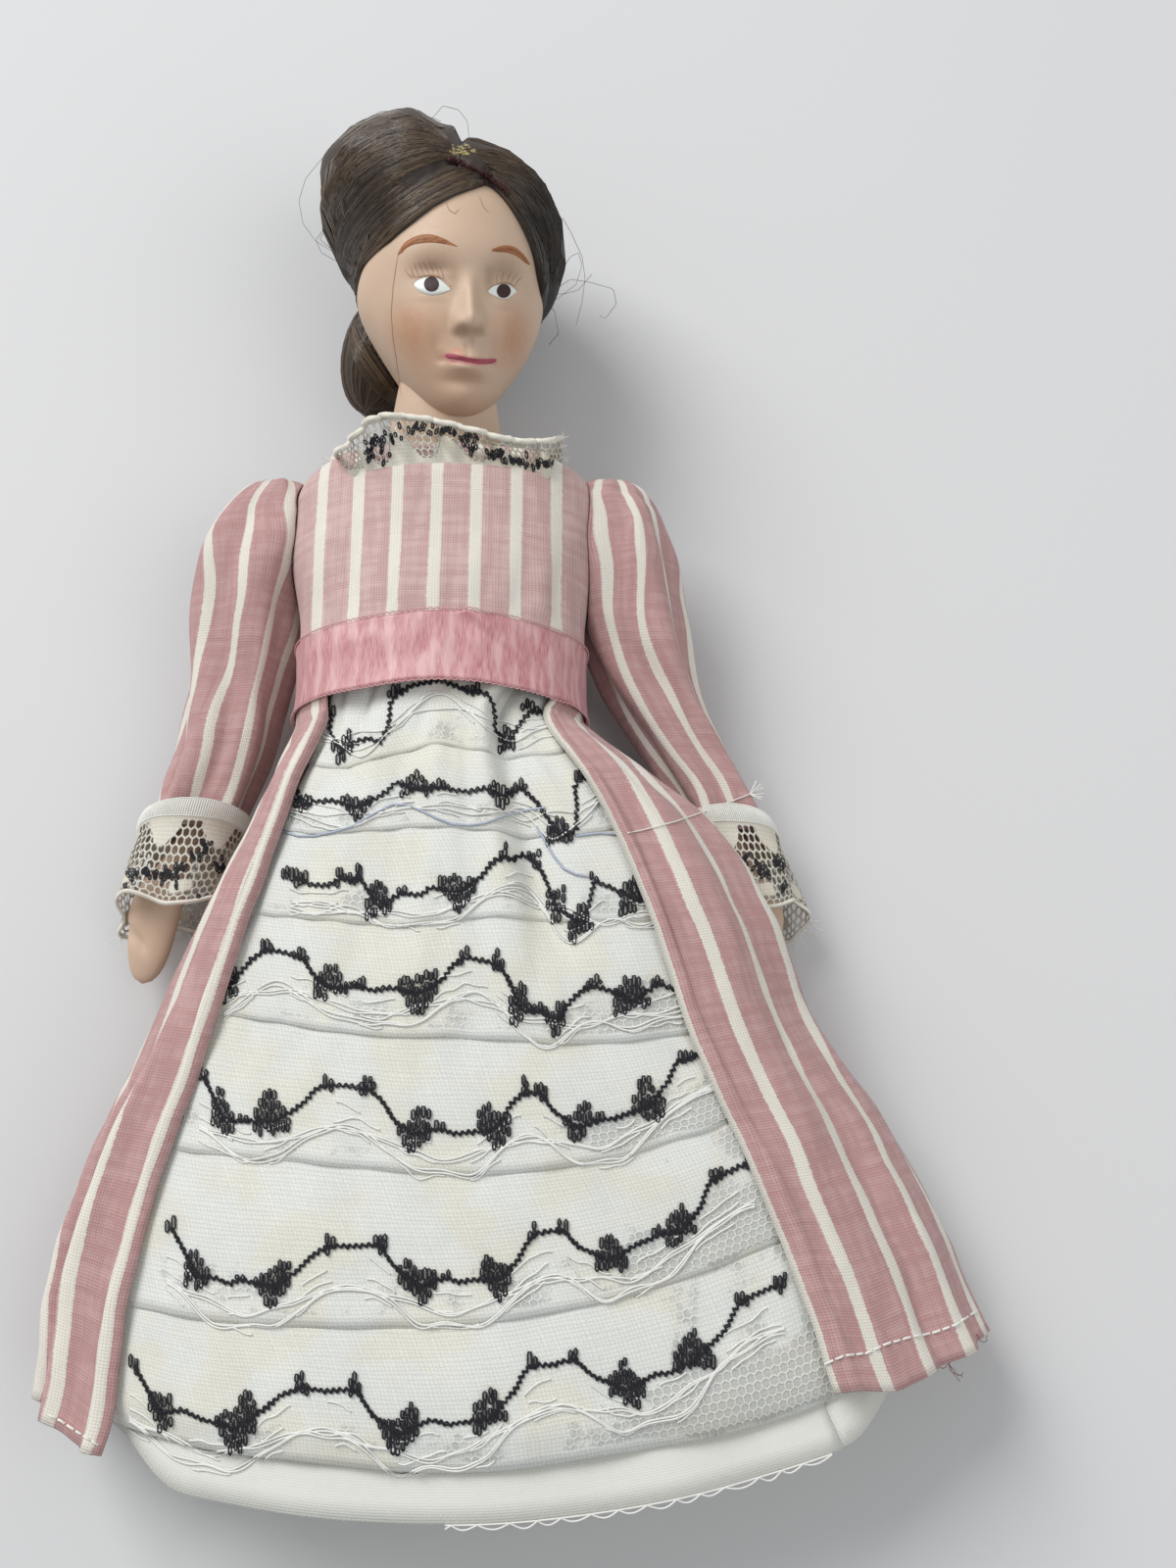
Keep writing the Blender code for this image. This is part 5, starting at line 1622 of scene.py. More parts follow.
# %% [markdown]
# ## Hair
#
# The wig is combed fibre on a cap: parted at the crown, rolled big over the
# doll's right temple, flatter on the left, and wound into a knot behind the
# neck. A cap with the full shape lies underneath, and combed strands cover it.
# A particle system would comb them too, but tubes laid on guide lines stay
# where the photograph shows them and last in the finished model.

# %% Shape of the wig
HAIR_CENTRE = Vector((-12.2, 76.5, 20.0))
HAIR_DEPTH, HAIR_EDGE = 20.0, 0.8
HAIRLINE = ((-180, 138), (-150, 133), (-128, 122), (-112, 105), (-100, 90), (-90, 79), (-75, 73.5),
            (-60, 69), (-45, 60.5), (-30, 50), (-15, 42), (0, 36), (15, 30.5), (27, 26.5), (36, 27),
            (42, 35), (47, 48), (52, 66), (56, 80), (64, 87), (80, 93), (110, 103), (150, 128),
            (180, 138))
# Reach of the hair from its centre every 15 degrees, from the doll's left round by the crown
HAIR_REACH = (17.4, 18.9, 20.7, 22.6, 24.0, 24.8, 25.2, 29.6, 31.4, 29.6, 24.2, 18.4, 14.4, 11.5, 10.0,
              10.0, 10.0, 10.0, 10.0, 10.0, 10.0, 10.0, 10.5, 14.6)


def hair_fall(turn):
    """Angle from the crown to the hairline."""
    here = degrees(turn)
    for (left, low), (right, high) in zip(HAIRLINE, HAIRLINE[1:]):
        if here <= right:
            return radians(low + (high - low) * (here - left) / (right - left))
    return radians(HAIRLINE[-1][1])


def hair_size(angle):
    """Half size of the hair at its widest level, seen along one angle."""
    place = (angle / (2 * pi) % 1.0) * len(HAIR_REACH)
    first = int(place) % len(HAIR_REACH)
    part = smooth(0.0, 1.0, place - int(place))
    reach = HAIR_REACH[first] * (1 - part) + HAIR_REACH[(first + 1) % len(HAIR_REACH)] * part
    slant = 13.6 * sin(angle) - 1.6 * cos(angle)
    return sqrt(max(reach ** 2 - slant ** 2, 64.0))


def picture(spot):
    """Picture point of a spot in the doll's millimetres."""
    away = spot - EYE
    share = 800.0 / HALF_VIEW / away.dot(forward)
    return 600.0 + away.dot(rightward) * share, 800.0 - away.dot(upward) * share


def away_from(line, px, py):
    """Distance from a picture point to a line of picture points, and the side."""
    best = (1e9, 0.0)
    for (ax, ay), (bx, by) in zip(line, line[1:]):
        dx, dy = bx - ax, by - ay
        part = min(1.0, max(0.0, ((px - ax) * dx + (py - ay) * dy) / (dx * dx + dy * dy)))
        gap = hypot(px - ax - part * dx, py - ay - part * dy)
        if gap < best[0]:
            best = (gap, dx * (py - ay) - dy * (px - ax))
    return best


ROLL_LINE = [(463, 160), (447, 166), (430, 175), (414, 190), (396, 204)]
PART_LINE = [(470, 140), (466, 150), (464, 160), (478, 170), (498, 181)]


def hair_spot(turn, along):
    """Outside of the wig; along is 0 at the crown and 1 at the hairline."""
    start = head_point(turn, hair_fall(turn) * min(along, 1.0), 0.05)
    ray = (start - HEAD_CENTRE).normalized()
    low, high = 0.0, 60.0
    for step in range(20):
        middle = (low + high) / 2
        spot = HEAD_CENTRE + ray * middle - HAIR_CENTRE
        size = hair_size(atan2(spot.y, spot.x))
        if (spot.x ** 2 + spot.y ** 2) / size ** 2 + (spot.z / HAIR_DEPTH) ** 2 < 1.0:
            low = middle
        else:
            high = middle
    tucked = max(bump(turn, -2.0, 0.45), bump(turn, 1.35, 0.3))
    tucked *= smooth(1.35, 1.65, hair_fall(turn) * along)
    edge = HAIR_EDGE * (1.0 - 0.85 * tucked) * smooth(0.0, 0.035, 1.0 - along)
    full = max(low - (start - HEAD_CENTRE).length, edge)
    roll = smooth(0.0, 0.22, 1.0 - along)
    spot = start + ray * (edge + (full - edge) * roll)
    px, py = picture(spot)
    if spot.z > 12 and 380 < px < 540 and py < 240:
        gap, side = away_from(ROLL_LINE, px, py)
        near = smooth(372, 420, px)
        rise = 1.5 * smooth(-7.0, 7.0, gap * (1 if side > 0 else -1)) * near * smooth(474, 462, px)
        rise -= 1.3 * bump(gap, 0.0, 4.0) * near
        rise -= 1.0 * bump(away_from(PART_LINE, px, py)[0], 0.0, 5.0)
        spot += ray * rise * smooth(0.02, 0.12, 1.0 - along)
    return Vector((spot.x, spot.y, max(spot.z, 0.02)))


KNOT_CENTRE, KNOT_SIZE = Vector((-22.2, 67.6, 13.2)), Vector((6.0, 10.6, 8.4))
KNOT_FRAME = Matrix.Rotation(radians(-14.0), 3, "Z")


def knot_spot(turn, level, extra=0.0):
    """The knot behind the neck; level runs along it from 0 to 1."""
    fall = pi * level
    twist = turn + 0.9 * level
    spot = Vector((KNOT_SIZE.x * sin(fall) * cos(twist), KNOT_SIZE.y * cos(fall),
                   KNOT_SIZE.z * sin(fall) * sin(twist)))
    groove = 0.35 * cos(5 * turn) * sin(fall)
    spot += spot.normalized() * (extra + groove)
    spot = KNOT_CENTRE + KNOT_FRAME @ spot
    return Vector((spot.x, spot.y, max(spot.z, 0.02 + extra * 0.2)))


def fibre(name, colour, shine=0.38):
    """Combed mohair: dark fibre with a soft gloss, with painted shade over the doll's left side of the wig
    and low on the roll over its right temple.
    """
    made, tree, main = finish(name, shine, Specular_IOR_Level=0.6, Anisotropic=0.4)
    place = coordinates(tree, "Object")
    blotch = placed(tree, BLOTCH, Place=place, Size=1.6, Strength=0.7)
    parts = parts_of(tree, place)
    across, up = (times(tree, parts[axis], 1000.0) for axis in (0, 1))
    # painted shade: the doll's left side of the wig and a band low on the roll are darkened
    leaning = calc(tree, "MULTIPLY_ADD", up, -0.25, plus(tree, across, 21.2))
    painted_side_shade = between(tree, leaning, -3.0, 4.0, 1.0, 0.26)
    from_roll = calc(tree, "ABSOLUTE", minus(tree, up, 79.0))
    painted_roll_shade = times(tree, between(tree, from_roll, 7.0, 2.0), between(tree, across, -14.0, -21.0))
    shade = times(tree, painted_side_shade, calc(tree, "MULTIPLY_ADD", painted_roll_shade, -0.45, 1.0))
    tone = times(tree, blotch.outputs["Tone"], shade)
    coloured(tree, main, tinted(tree, colour, tone))
    relief(tree, main, noise(tree, place, 5000.0, 2.0), 0.02, 0.5)
    return made


HAIR_BASE = fibre("hair_under", (0.030, 0.018, 0.011, 1.0), 0.6)
HAIR_DARK = fibre("hair_dark", (0.050, 0.031, 0.019, 1.0), 0.42)
HAIR_MID = fibre("hair_mid", (0.105, 0.068, 0.040, 1.0), 0.38)
HAIR_GOLD = fibre("hair_gold", (0.21, 0.145, 0.083, 1.0), 0.34)

bm = laid(190, 60, lambda u, v: hair_spot(head_turn(u), v), True)
knot = laid(64, 40, lambda u, v: knot_spot(2 * pi * u, v), True)
bm = merged(bm, knot)
hair_tree = BVHTree.FromBMesh(bm)
keep(bm, "wig_cap", HAIR_BASE, ("wig",))
print("wig laid")

# %% [markdown]
# The guide lines are read off the photograph: eight on the big roll, six on the
# other side and the two edges of the knot. Every strand lies between two guides
# and is dropped on the wig along the line of sight.

# %% Guide lines in picture points
ROLL_FRONT = [
    [(494, 188), (470, 194), (450, 203), (430, 216), (410, 232), (395, 246), (380, 260), (368, 273),
     (361, 287)],
    [(486, 180), (466, 186), (442, 197), (421, 210), (400, 227), (384, 242), (371, 257), (362, 271),
     (356, 284)],
    [(476, 169), (457, 174), (434, 186), (414, 199), (393, 215), (375, 233), (362, 252), (355, 270),
     (352, 280)]]
ROLL_BACK = [
    [(466, 161), (444, 165), (420, 175), (397, 189), (374, 209), (358, 230), (349, 250), (347, 264),
     (350, 278)],
    [(463, 155), (440, 151), (414, 157), (388, 170), (365, 189), (350, 211), (343, 234), (343, 252),
     (349, 272)],
    [(462, 151), (440, 142), (413, 142), (385, 152), (360, 171), (344, 194), (338, 218), (339, 240),
     (346, 262)],
    [(461, 148), (442, 134), (416, 129), (387, 135), (360, 151), (342, 174), (335, 198), (335, 222),
     (343, 252)],
    [(461, 146), (447, 131), (425, 125), (400, 124), (375, 131), (354, 147), (339, 168), (333, 191),
     (336, 230)]]
LEFT_SIDE = [
    [(500, 189), (511, 199), (521, 213), (531, 227), (541, 244), (547, 264), (549, 288), (547, 308)],
    [(504, 181), (519, 192), (532, 209), (543, 228), (551, 248), (556, 270), (555, 292), (549, 309)],
    [(500, 171), (522, 180), (540, 197), (553, 217), (560, 240), (563, 263), (561, 285), (552, 306)],
    [(490, 161), (515, 166), (538, 179), (555, 198), (564, 222), (567, 248), (566, 272), (556, 298)],
    [(478, 154), (505, 156), (530, 166), (551, 184), (564, 208), (570, 235), (570, 262), (564, 288)],
    [(474, 151), (500, 153), (521, 160), (541, 174), (557, 194), (567, 219), (571, 244), (570, 270)]]
KNOT_LINES = [[(357, 312), (355, 332), (357, 354), (366, 378), (381, 397), (397, 411), (411, 418)],
              [(362, 312), (364, 328), (371, 345), (383, 363), (397, 384), (407, 403), (413, 416)]]


def read_line(line, part):
    """A point part of the way along a line."""
    place = min(max(part, 0.0), 1.0) * (len(line) - 1)
    first = min(int(place), len(line) - 2)
    rest = place - first
    return (line[first][0] * (1 - rest) + line[first + 1][0] * rest,
            line[first][1] * (1 - rest) + line[first + 1][1] * rest)


def comb(guides, count, wander, steps=15, lift=0.3, stray=0.0, first_part=-0.02):
    """Strands between neighbouring guide lines, dropped on the wig."""
    made = []
    for number in range(count):
        place = uniform(0.0, len(guides) - 1.001)
        first, share = int(place), place - int(place)
        begin, end = first_part + uniform(0.0, 0.12), 1.0 - uniform(0.0, 0.14)
        wave, start, height = uniform(4.0, 9.0), uniform(0, 6.3), uniform(0.03, lift)
        push = gauss(0.0, wander)
        path = []
        for step in range(steps):
            part = begin + (end - begin) * step / (steps - 1)
            one, two = read_line(guides[first], part), read_line(guides[first + 1], part)
            px = one[0] * (1 - share) + two[0] * share + push * part + 0.5 * sin(wave * part + start)
            py = one[1] * (1 - share) + two[1] * share + 0.5 * cos(wave * part + start)
            hit = look(hair_tree, px, py)
            if hit[0] is None or (path and (hit[0] / MM - SHIFT - path[-1]).length > 5.0):
                continue
            rise = height * sin(pi * step / (steps - 1)) ** 0.5 + stray * part
            path.append(hit[0] / MM - SHIFT + hit[1] * rise)
        if len(path) > 6:
            made.append(path)
    return made


def thinning(part):
    return 0.45 + 0.55 * sin(pi * min(1.0, part * 0.86 + 0.07))


random.seed(11)
front_hair = comb(ROLL_FRONT, 260, 0.8) + comb(ROLL_BACK, 420, 1.2)
front_hair += comb([ROLL_FRONT[2], ROLL_BACK[0]], 150, 0.8, first_part=0.26)
left_hair = comb(LEFT_SIDE, 380, 1.0)
knot_hair = comb(KNOT_LINES, 110, 0.8)
visible = front_hair + left_hair + knot_hair
random.shuffle(visible)
dark, mid = int(len(visible) * 0.42), int(len(visible) * 0.86)
threads("strands_dark", visible[:dark], 0.075, HAIR_DARK, thinning)
threads("strands_mid", visible[dark:mid], 0.065, HAIR_MID, thinning)
threads("strands_gold", visible[mid:], 0.055, HAIR_GOLD, thinning)

# %% [markdown]
# The back is combed straight down and round into the knot, as on other dolls of
# this make-up, because the photograph doesn't show it.

# %% Back of the wig
def back_strand(turn, drift):
    path = []
    for step in range(15):
        part = step / 14
        here = turn * (1 - 0.10 * part) + drift * sin(3.0 * part)
        spot = hair_spot(here, 0.04 + 0.93 * part)
        outward = (spot - HEAD_CENTRE).normalized()
        path.append(spot + outward * uniform(0.02, 0.09))
    return path


backs = []
for number in range(250):
    turn = uniform(radians(92), radians(268))
    turn = turn if turn < pi else turn - 2 * pi
    backs.append(back_strand(turn, gauss(0.0, 0.05)))
for number in range(120):
    turn = uniform(0, 2 * pi)
    backs.append([knot_spot(turn, 0.04 + 0.92 * step / 15, 0.06) for step in range(16)])
threads("strands_back", backs[::2], 0.10, HAIR_MID, thinning)
threads("strands_back_dark", backs[1::2], 0.10, HAIR_DARK, thinning)


# %% Sewn parting, glue and loose hairs
WEFT = enamel("weft_thread", (0.075, 0.022, 0.024, 1.0), 0.7, 0.5)
GLUE = enamel("dry_glue", (0.30, 0.25, 0.10, 1.0), 0.35, 0.9)
weft_line = drawn([(456, 163), (466, 165), (480, 171), (498, 180), (512, 190), (519, 198)], 1.3)
weft = []
for number in range(3):
    path = []
    for count, (px, py) in enumerate(weft_line):
        swing = uniform(1.2, 3.4) * (1 if count % 2 else -1)
        hit = look(hair_tree, px - 0.4 * swing, py + swing)
        if hit[0]:
            path.append(hit[0] / MM - SHIFT + hit[1] * uniform(0.1, 0.55))
    weft.append(path)
threads("parting_weft", weft, 0.13, WEFT, sides=1)
bm = bmesh.new()
for number in range(34):
    hit = look(hair_tree, gauss(471, 7), gauss(153, 2.6))
    if hit[0]:
        size = uniform(0.15, 0.42) * MM
        flat = hit[1].to_track_quat("Z", "Y").to_matrix().to_4x4() @ Matrix.Diagonal((1, 1, 0.45, 1))
        bmesh.ops.create_icosphere(bm, subdivisions=2, radius=size, matrix=Matrix.Translation(hit[0]) @ flat)
keep(bm, "glue_spot", GLUE)


def loose_hair(line, from_height, to_height):
    """A hair that leaves the wig and drops toward the table."""
    spots = drawn(line, 3.0)
    path = []
    for count, (px, py) in enumerate(spots):
        height = from_height + (to_height - from_height) * smooth(0, 1, count / max(len(spots) - 1, 1))
        ray = sight(px, py)
        path.append(EYE + ray * ((height - EYE.z) / ray.z))
    return path


loose = [([(574, 222), (583, 238), (594, 262), (597, 284), (594, 308), (588, 332)], 20, 5),
         ([(566, 296), (582, 285), (602, 288), (626, 295), (629, 310), (618, 325), (612, 322)], 14, 2),
         ([(570, 280), (582, 262), (590, 258), (594, 270), (588, 290), (570, 304), (548, 318)], 16, 12),
         ([(560, 300), (575, 300), (590, 296), (604, 280)], 16, 3),
         ([(345, 148), (330, 160), (312, 182), (305, 205), (309, 228), (322, 246), (343, 259),
           (360, 282)], 20, 8),
         ([(334, 230), (322, 245), (328, 258), (346, 268), (358, 284)], 18, 12),
         ([(440, 122), (452, 108), (468, 112), (477, 124), (479, 145)], 26, 30),
         ([(352, 262), (338, 254), (326, 244), (330, 238), (345, 244)], 16, 14),
         ([(556, 305), (566, 318), (570, 340), (560, 352)], 14, 3),
         ([(345, 150), (362, 128), (388, 114), (420, 112), (450, 124)], 18, 26)]
threads("loose_hairs", [loose_hair(*item) for item in loose], 0.04, HAIR_DARK)
strokes("stray_hair", [[(407, 256), (404, 272), (401, 292), (399, 320), (401, 346), (405, 372), (408, 392),
                        (410, 406)], [(455, 206), (458, 214), (464, 218), (469, 213)],
                       [(489, 200), (493, 211), (499, 217)]], 0.045, LASH, 0.06)
print("strands:", len(visible) + len(backs))

# %% [markdown]
# ## Hands, collar and cuffs
#
# Each hand is a smooth cast mitt with the thumb pressed against the palm. The
# collar and cuffs are narrow lace, gathered on and edged with a thick cord: the
# net is really open between its threads, so the skin and the table show through.

# %% Hands
def fore_line(side, level):
    start = arm_line(side, 0.5 + 0.5 * level)
    start.x += (side * 0.6 - 1.2 + side * 1.2) * smooth(0.55, 0.95, level)
    drop = max(0.0, level - 0.82) / 0.18
    return start + Vector((side * 1.5 * drop, -0.6 - 8.4 * drop, -1.2 * drop))


def blunt(level, start=0.05, end=0.1):
    low, high = min(1.0, level / start), min(1.0, (1.0 - level) / end)
    return sqrt(max(0.0, 1.0 - (1.0 - low) ** 2)) * sqrt(max(0.0, 1.0 - (1.0 - high) ** 2))


def hand_place(side):
    def place(u, level):
        ahead = fore_line(side, min(level + 0.01, 1.0)) - fore_line(side, max(level - 0.01, 0.0))
        ahead.normalize()
        wide_way = ahead.cross(Vector((0, 0, 1))).normalized()
        high_way = wide_way.cross(ahead).normalized()
        palm = smooth(0.70, 0.86, level)
        arm = 2.9 - 1.1 * smooth(0.0, 0.7, level)
        wide, high = ((arm + more * palm) * max(blunt(level), 0.02) for more in (1.35, -0.35))
        turn = 2 * pi * u
        inner = -side * cos(turn)
        thumb = bump(level, 0.87, 0.055) * bump(inner, 0.75, 0.42) * smooth(-0.4, 0.5, sin(turn))
        crease = bump(level + 0.03 * inner, 0.935, 0.012) * bump(inner, 0.55, 0.5)
        crease *= smooth(0.0, 0.6, sin(turn))
        fingers = 0.1 * cos(6 * pi * cos(turn)) * smooth(0.93, 0.98, level)
        size = 1.0 + 0.5 * thumb - 0.45 * crease + 0.1 * fingers
        spot = fore_line(side, level) + wide_way * wide * size * cos(turn) \
            + high_way * high * size * sin(turn)
        return Vector((spot.x, spot.y, max(spot.z, 0.02)))
    return place


for side, label in ((1, "left"), (-1, "right")):
    bm = laid(56, 120, hand_place(side), True)
    bmesh.ops.holes_fill(bm, edges=[edge for edge in bm.edges if edge.is_boundary], sides=0)
    bmesh.ops.recalc_face_normals(bm, faces=bm.faces[:])
    keep(bm, "hand_" + label, BARE_SKIN, ("forearm_" + label,))
print("hands cast")

# %% Lace sheets and their cord
def lace_sheet(name, place, columns, rows, size, dense, stands_for):
    """A strip of narrow lace; dense(u, v) is 1 where threads are packed, size in 100 mm."""
    bm = laid(columns, rows, place, True)
    flat, packed = bm.loops.layers.uv["cloth"], bm.verts.layers.float.new("dense")
    for face in bm.faces:
        for loop in face.loops:
            u, v = loop[flat].uv
            loop.vert[packed] = dense(u, v)
            loop[flat].uv = (u * size[0], v * size[1])
    piece = keep(bm, name, NARROW_LACE, (stands_for,))
    thicken(piece, 0.16, 0.0)
    return piece


def cord_paths(spots, turns, wide):
    """Three yarns twisted round each other along a line of spots."""
    made = []
    for yarn in range(3):
        path = []
        for count, spot in enumerate(spots):
            angle = 2 * pi * (count * turns / len(spots) + yarn / 3)
            path.append(spot + Vector((0.0, cos(angle), sin(angle))) * wide)
        made.append(path)
    return made


def frays(spots, way, count, long):
    """Loose ends of cut lace."""
    made = []
    for number in range(count):
        start = random.choice(spots)
        lean = way + Vector((gauss(0, 0.45), gauss(0, 0.45), gauss(0, 0.2)))
        curl, size = uniform(-1.5, 1.5), uniform(0.4, 1.0) * long
        path = [Vector(start)]
        for step in range(7):
            lean = Matrix.Rotation(curl / 7, 3, "Z") @ lean
            path.append(path[-1] + lean.normalized() * size / 7)
        made.append([Vector((spot.x, spot.y, max(spot.z, 0.15))) for spot in path])
    return made


# %% Collar
bodice_cast = tree_over([bodice])
COLLAR_TOP = [(339, 470), (345, 461), (356, 451), (367, 439), (377, 428), (391, 423.5), (411, 424.5),
              (432, 427), (452, 431), (472, 436), (492, 441), (512, 447), (530, 450), (548, 451),
              (562, 449.5), (574, 447)]
COLLAR_FOOT = [(343, 480), (356, 481), (368, 480.5), (382, 479), (396, 476), (412, 473.5), (430, 472),
               (448, 471.5), (466, 472), (484, 473), (502, 474), (520, 476), (536, 478.5), (550, 481.5),
               (562, 484), (572, 486)]
FOOT_HEIGHT = []
for px, py in COLLAR_FOOT:
    hit = look(bodice_cast, px, py + 3)[0]
    FOOT_HEIGHT.append(hit.z / MM - SHIFT.z if hit else 17.0)
FOOT_HEIGHT[0] = FOOT_HEIGHT[-1] = 15.5
TOP_RISE = (0.3, 1.5, 2.4, 3.0, 3.2, 3.0, 2.6, 2.6, 2.8, 3.0, 3.0, 2.6, 2.4, 2.2, 1.8, 1.0)


def collar_place(u, v):
    """u goes round from the doll's right shoulder by the front; v from inside the dress to the cord."""
    level = (v - 0.42) / 0.58
    if u <= 0.56:
        part = u / 0.56
        low, high = read_line(COLLAR_FOOT, part), read_line(COLLAR_TOP, part)
        height = follow(FOOT_HEIGHT, part) + 0.35
        rise = follow(TOP_RISE, part)
        frill = cos(2 * pi * 11 * part) + 0.5 * sin(2 * pi * 17 * part + 1.0)
        out = max(level, 0.0)
        px = low[0] + (high[0] - low[0]) * out + 2.4 * sin(2 * pi * 11 * part) * out ** 2
        py = low[1] + (high[1] - low[1]) * out
        height += rise * out + 0.42 * frill * sin(pi * min(out, 0.85))
        ray = sight(px, py)
        spot = EYE + ray * ((height - EYE.z) / ray.z)
        if level < 0:
            ends = smooth(0.22, 0.0, part) + smooth(0.80, 1.0, part)
            spot += Vector((0.0, 4.2 * level, (1.9 + 5.0 * ends) * level))
        return spot
    part = (u - 0.56) / 0.44
    turn = -pi * part
    frill = cos(14 * turn)
    spot = bodice_point(turn, 1.0, 0.2)
    spot += Vector((0.7 * cos(turn), 1.2, 0.7 * sin(turn))) * (frill * 0.5 + 0.6) * max(level, 0.0)
    spot.y += 4.6 * max(level, 0.0) + 4.2 * min(level, 0.0)
    ends = max(smooth(0.10, 0.0, part), smooth(0.90, 1.0, part))
    anchor = collar_place(0.56 if part < 0.5 else 0.0, v)
    spot = spot.lerp(anchor, ends)
    return Vector((spot.x, spot.y, max(spot.z, 0.4)))


def collar_dense(u, v):
    part = u / 0.56
    level = (v - 0.42) / 0.58
    if level < 0.12 or level > 0.93:
        return 1.0
    mound = 0.45 + 0.35 * sin(2 * pi * 5.5 * part + 2.2)
    packed = smooth(mound + 0.1, mound - 0.1, level + 0.12)
    return 0.85 * packed * (0.1 if part < 0.16 else 1.0) + 0.05


random.seed(17)
collar = lace_sheet("collar_cloth", collar_place, 290, 18, (0.86, 0.11), collar_dense, "collar_lace")
collar_edge = [collar_place(0.56 * count / 170, 1.0) for count in range(171)]
collar_edge += [collar_place(0.56 + 0.44 * count / 110, 1.0) for count in range(1, 111)]
collar_cord = threads("collar_cord", cord_paths(collar_edge, 80, 0.24), 0.30, CREAM_THREAD, sides=1)
ends_of_lace = [collar_place(0.0, level) for level in (0.6, 0.7, 0.85, 1.0)]
other_end = [collar_place(0.555, level) for level in (0.5, 0.7, 0.85, 1.0)]
collar_frays = threads("collar_frays", frays(ends_of_lace, Vector((-1, -0.1, 0.1)), 34, 2.2)
                       + frays(other_end, Vector((1, 0.1, 0.1)), 26, 1.6), 0.055, WHITE_THREAD)
collar_cast = tree_over([collar])


def black_bits(name, clusters, tree, size=1.25):
    """Short looped black stitches, in clusters given as middle, reach and count."""
    paths = []
    for cx, cy, rx, ry, count in clusters:
        for number in range(round(0.8 * count)):
            px, py = gauss(cx, rx * 0.5), gauss(cy, ry * 0.5)
            lean, tall = uniform(-0.6, 0.6), uniform(1.8, 4.2)
            loop = []
            for step in range(11):
                angle = 2 * pi * step / 10
                x, y = size * cos(angle), tall * sin(angle)
                spot = set_down(px + x * cos(lean) - y * sin(lean),
                                py + x * sin(lean) + y * cos(lean), 0.16, tree)
                if spot is None:
                    break
                loop.append(spot)
            if len(loop) == 11 and max((one - two).length for one, two in zip(loop, loop[1:])) < 1.4:
                paths.append(loop)
    return threads(name, paths, 0.115, BLACK_THREAD)


collar_black = black_bits("collar_black_stitches", (
    (382, 458, 13, 14, 34), (400, 446, 8, 8, 8), (424, 437, 14, 5, 16), (450, 440, 18, 5, 20),
    (476, 448, 12, 6, 14), (480, 457, 5, 8, 8), (505, 464, 12, 5, 18), (522, 468, 14, 5, 16),
    (540, 474, 14, 4, 14), (562, 474, 12, 5, 16)), collar_cast)
print("collar laid")

# %% Cuffs
WRIST_RADIUS_LACE = 7.3


def cuff_place(side):
    def place(u, v):
        turn = 2 * pi * u
        narrow = 0.84 if side > 0 else 1.0
        flare = 0.9 * v - 0.35 * bump(v, 0.30, 0.14) + 0.45 * bump(v, 0.08, 0.12) + 0.35
        frill = (0.75 * cos(5 * turn + 0.6) + 0.35 * cos(9 * turn)) * smooth(0.25, 1.0, v)
        wide = WRIST_RADIUS_LACE * narrow + flare + frill
        spot = arm_line(side, SLEEVE_END - 0.03 + 0.185 * v)
        dip = 1.4 * sin(3 * turn + 0.4) * v
        return Vector((spot.x + wide * cos(turn), spot.y + 1.6 * sin(turn) + dip,
                       max(0.35, spot.z + 0.86 * wide * sin(turn))))
    return place


def cuff_dense(u, v):
    if v < 0.19 or v > 0.97:
        return 1.0
    hills = 0.5 + 0.5 * cos(2 * pi * 6 * u + 1.2)
    top = smooth(0.24 + 0.26 * hills, 0.16 + 0.26 * hills, v)
    low = 0.9 * bump(v, 0.80, 0.09) * smooth(0.5, 0.9, 1.0 - hills)
    return min(1.0, max(top * smooth(0.2, 0.45, hills), low) + 0.05)


for side, label in ((1, "left"), (-1, "right")):
    place = cuff_place(side)
    cuff = lace_sheet("cuff_cloth_" + label, place, 160, 22, (0.55, 0.125), cuff_dense,
                      "cuff_lace_" + label)
    edge = [place(count / 240, 1.0) for count in range(241)]
    extras = [threads("cuff_cord_" + label, cord_paths(edge, 80, 0.17), 0.21, CREAM_THREAD, sides=1)]
    ribs = []
    for number in range(150):
        ribs.append([place(number / 150, 0.01 + 0.16 * step / 4) + Vector((0, 0, 0.14)) for step in range(5)])
    header = [[place(count / 200, level) + Vector((0, 0, 0.1)) for count in range(201)]
              for level in (0.0, 0.17)]
    extras.append(threads("cuff_ribs_" + label, ribs + header, 0.11, WHITE_THREAD))
    low_edge = [spot for spot in edge if spot.z < 6]
    extras.append(threads("cuff_frays_" + label, frays(low_edge, Vector((0.2, -1, 0)), 46, 3.0), 0.05,
                          WHITE_THREAD))
    cuff_cast = tree_over([cuff])
    if side < 0:
        clusters = ((170, 893, 14, 9, 34), (150, 889, 7, 6, 10), (134, 893, 6, 5, 12), (127, 905, 4, 4, 6),
                    (200, 874, 6, 4, 8), (208, 864, 5, 8, 10), (224, 883, 5, 9, 12), (168, 956, 4, 9, 8),
                    (203, 916, 4, 4, 4), (186, 886, 6, 3, 6))
    else:
        clusters = ((795, 880, 7, 8, 14), (778, 890, 9, 7, 12), (760, 878, 8, 6, 10), (802, 905, 5, 6, 6))
    extras.append(black_bits("cuff_black_stitches_" + label, clusters, cuff_cast))
print("cuffs laid")

# %% [markdown]
# ## Hems, loose threads and the body
#
# The overskirt's hem is turned up and run by hand with white thread: each
# stitch shows as a short bar, and the thread dips through the cloth between
# them. The underskirt carries a narrow looped braid along part of its hem.

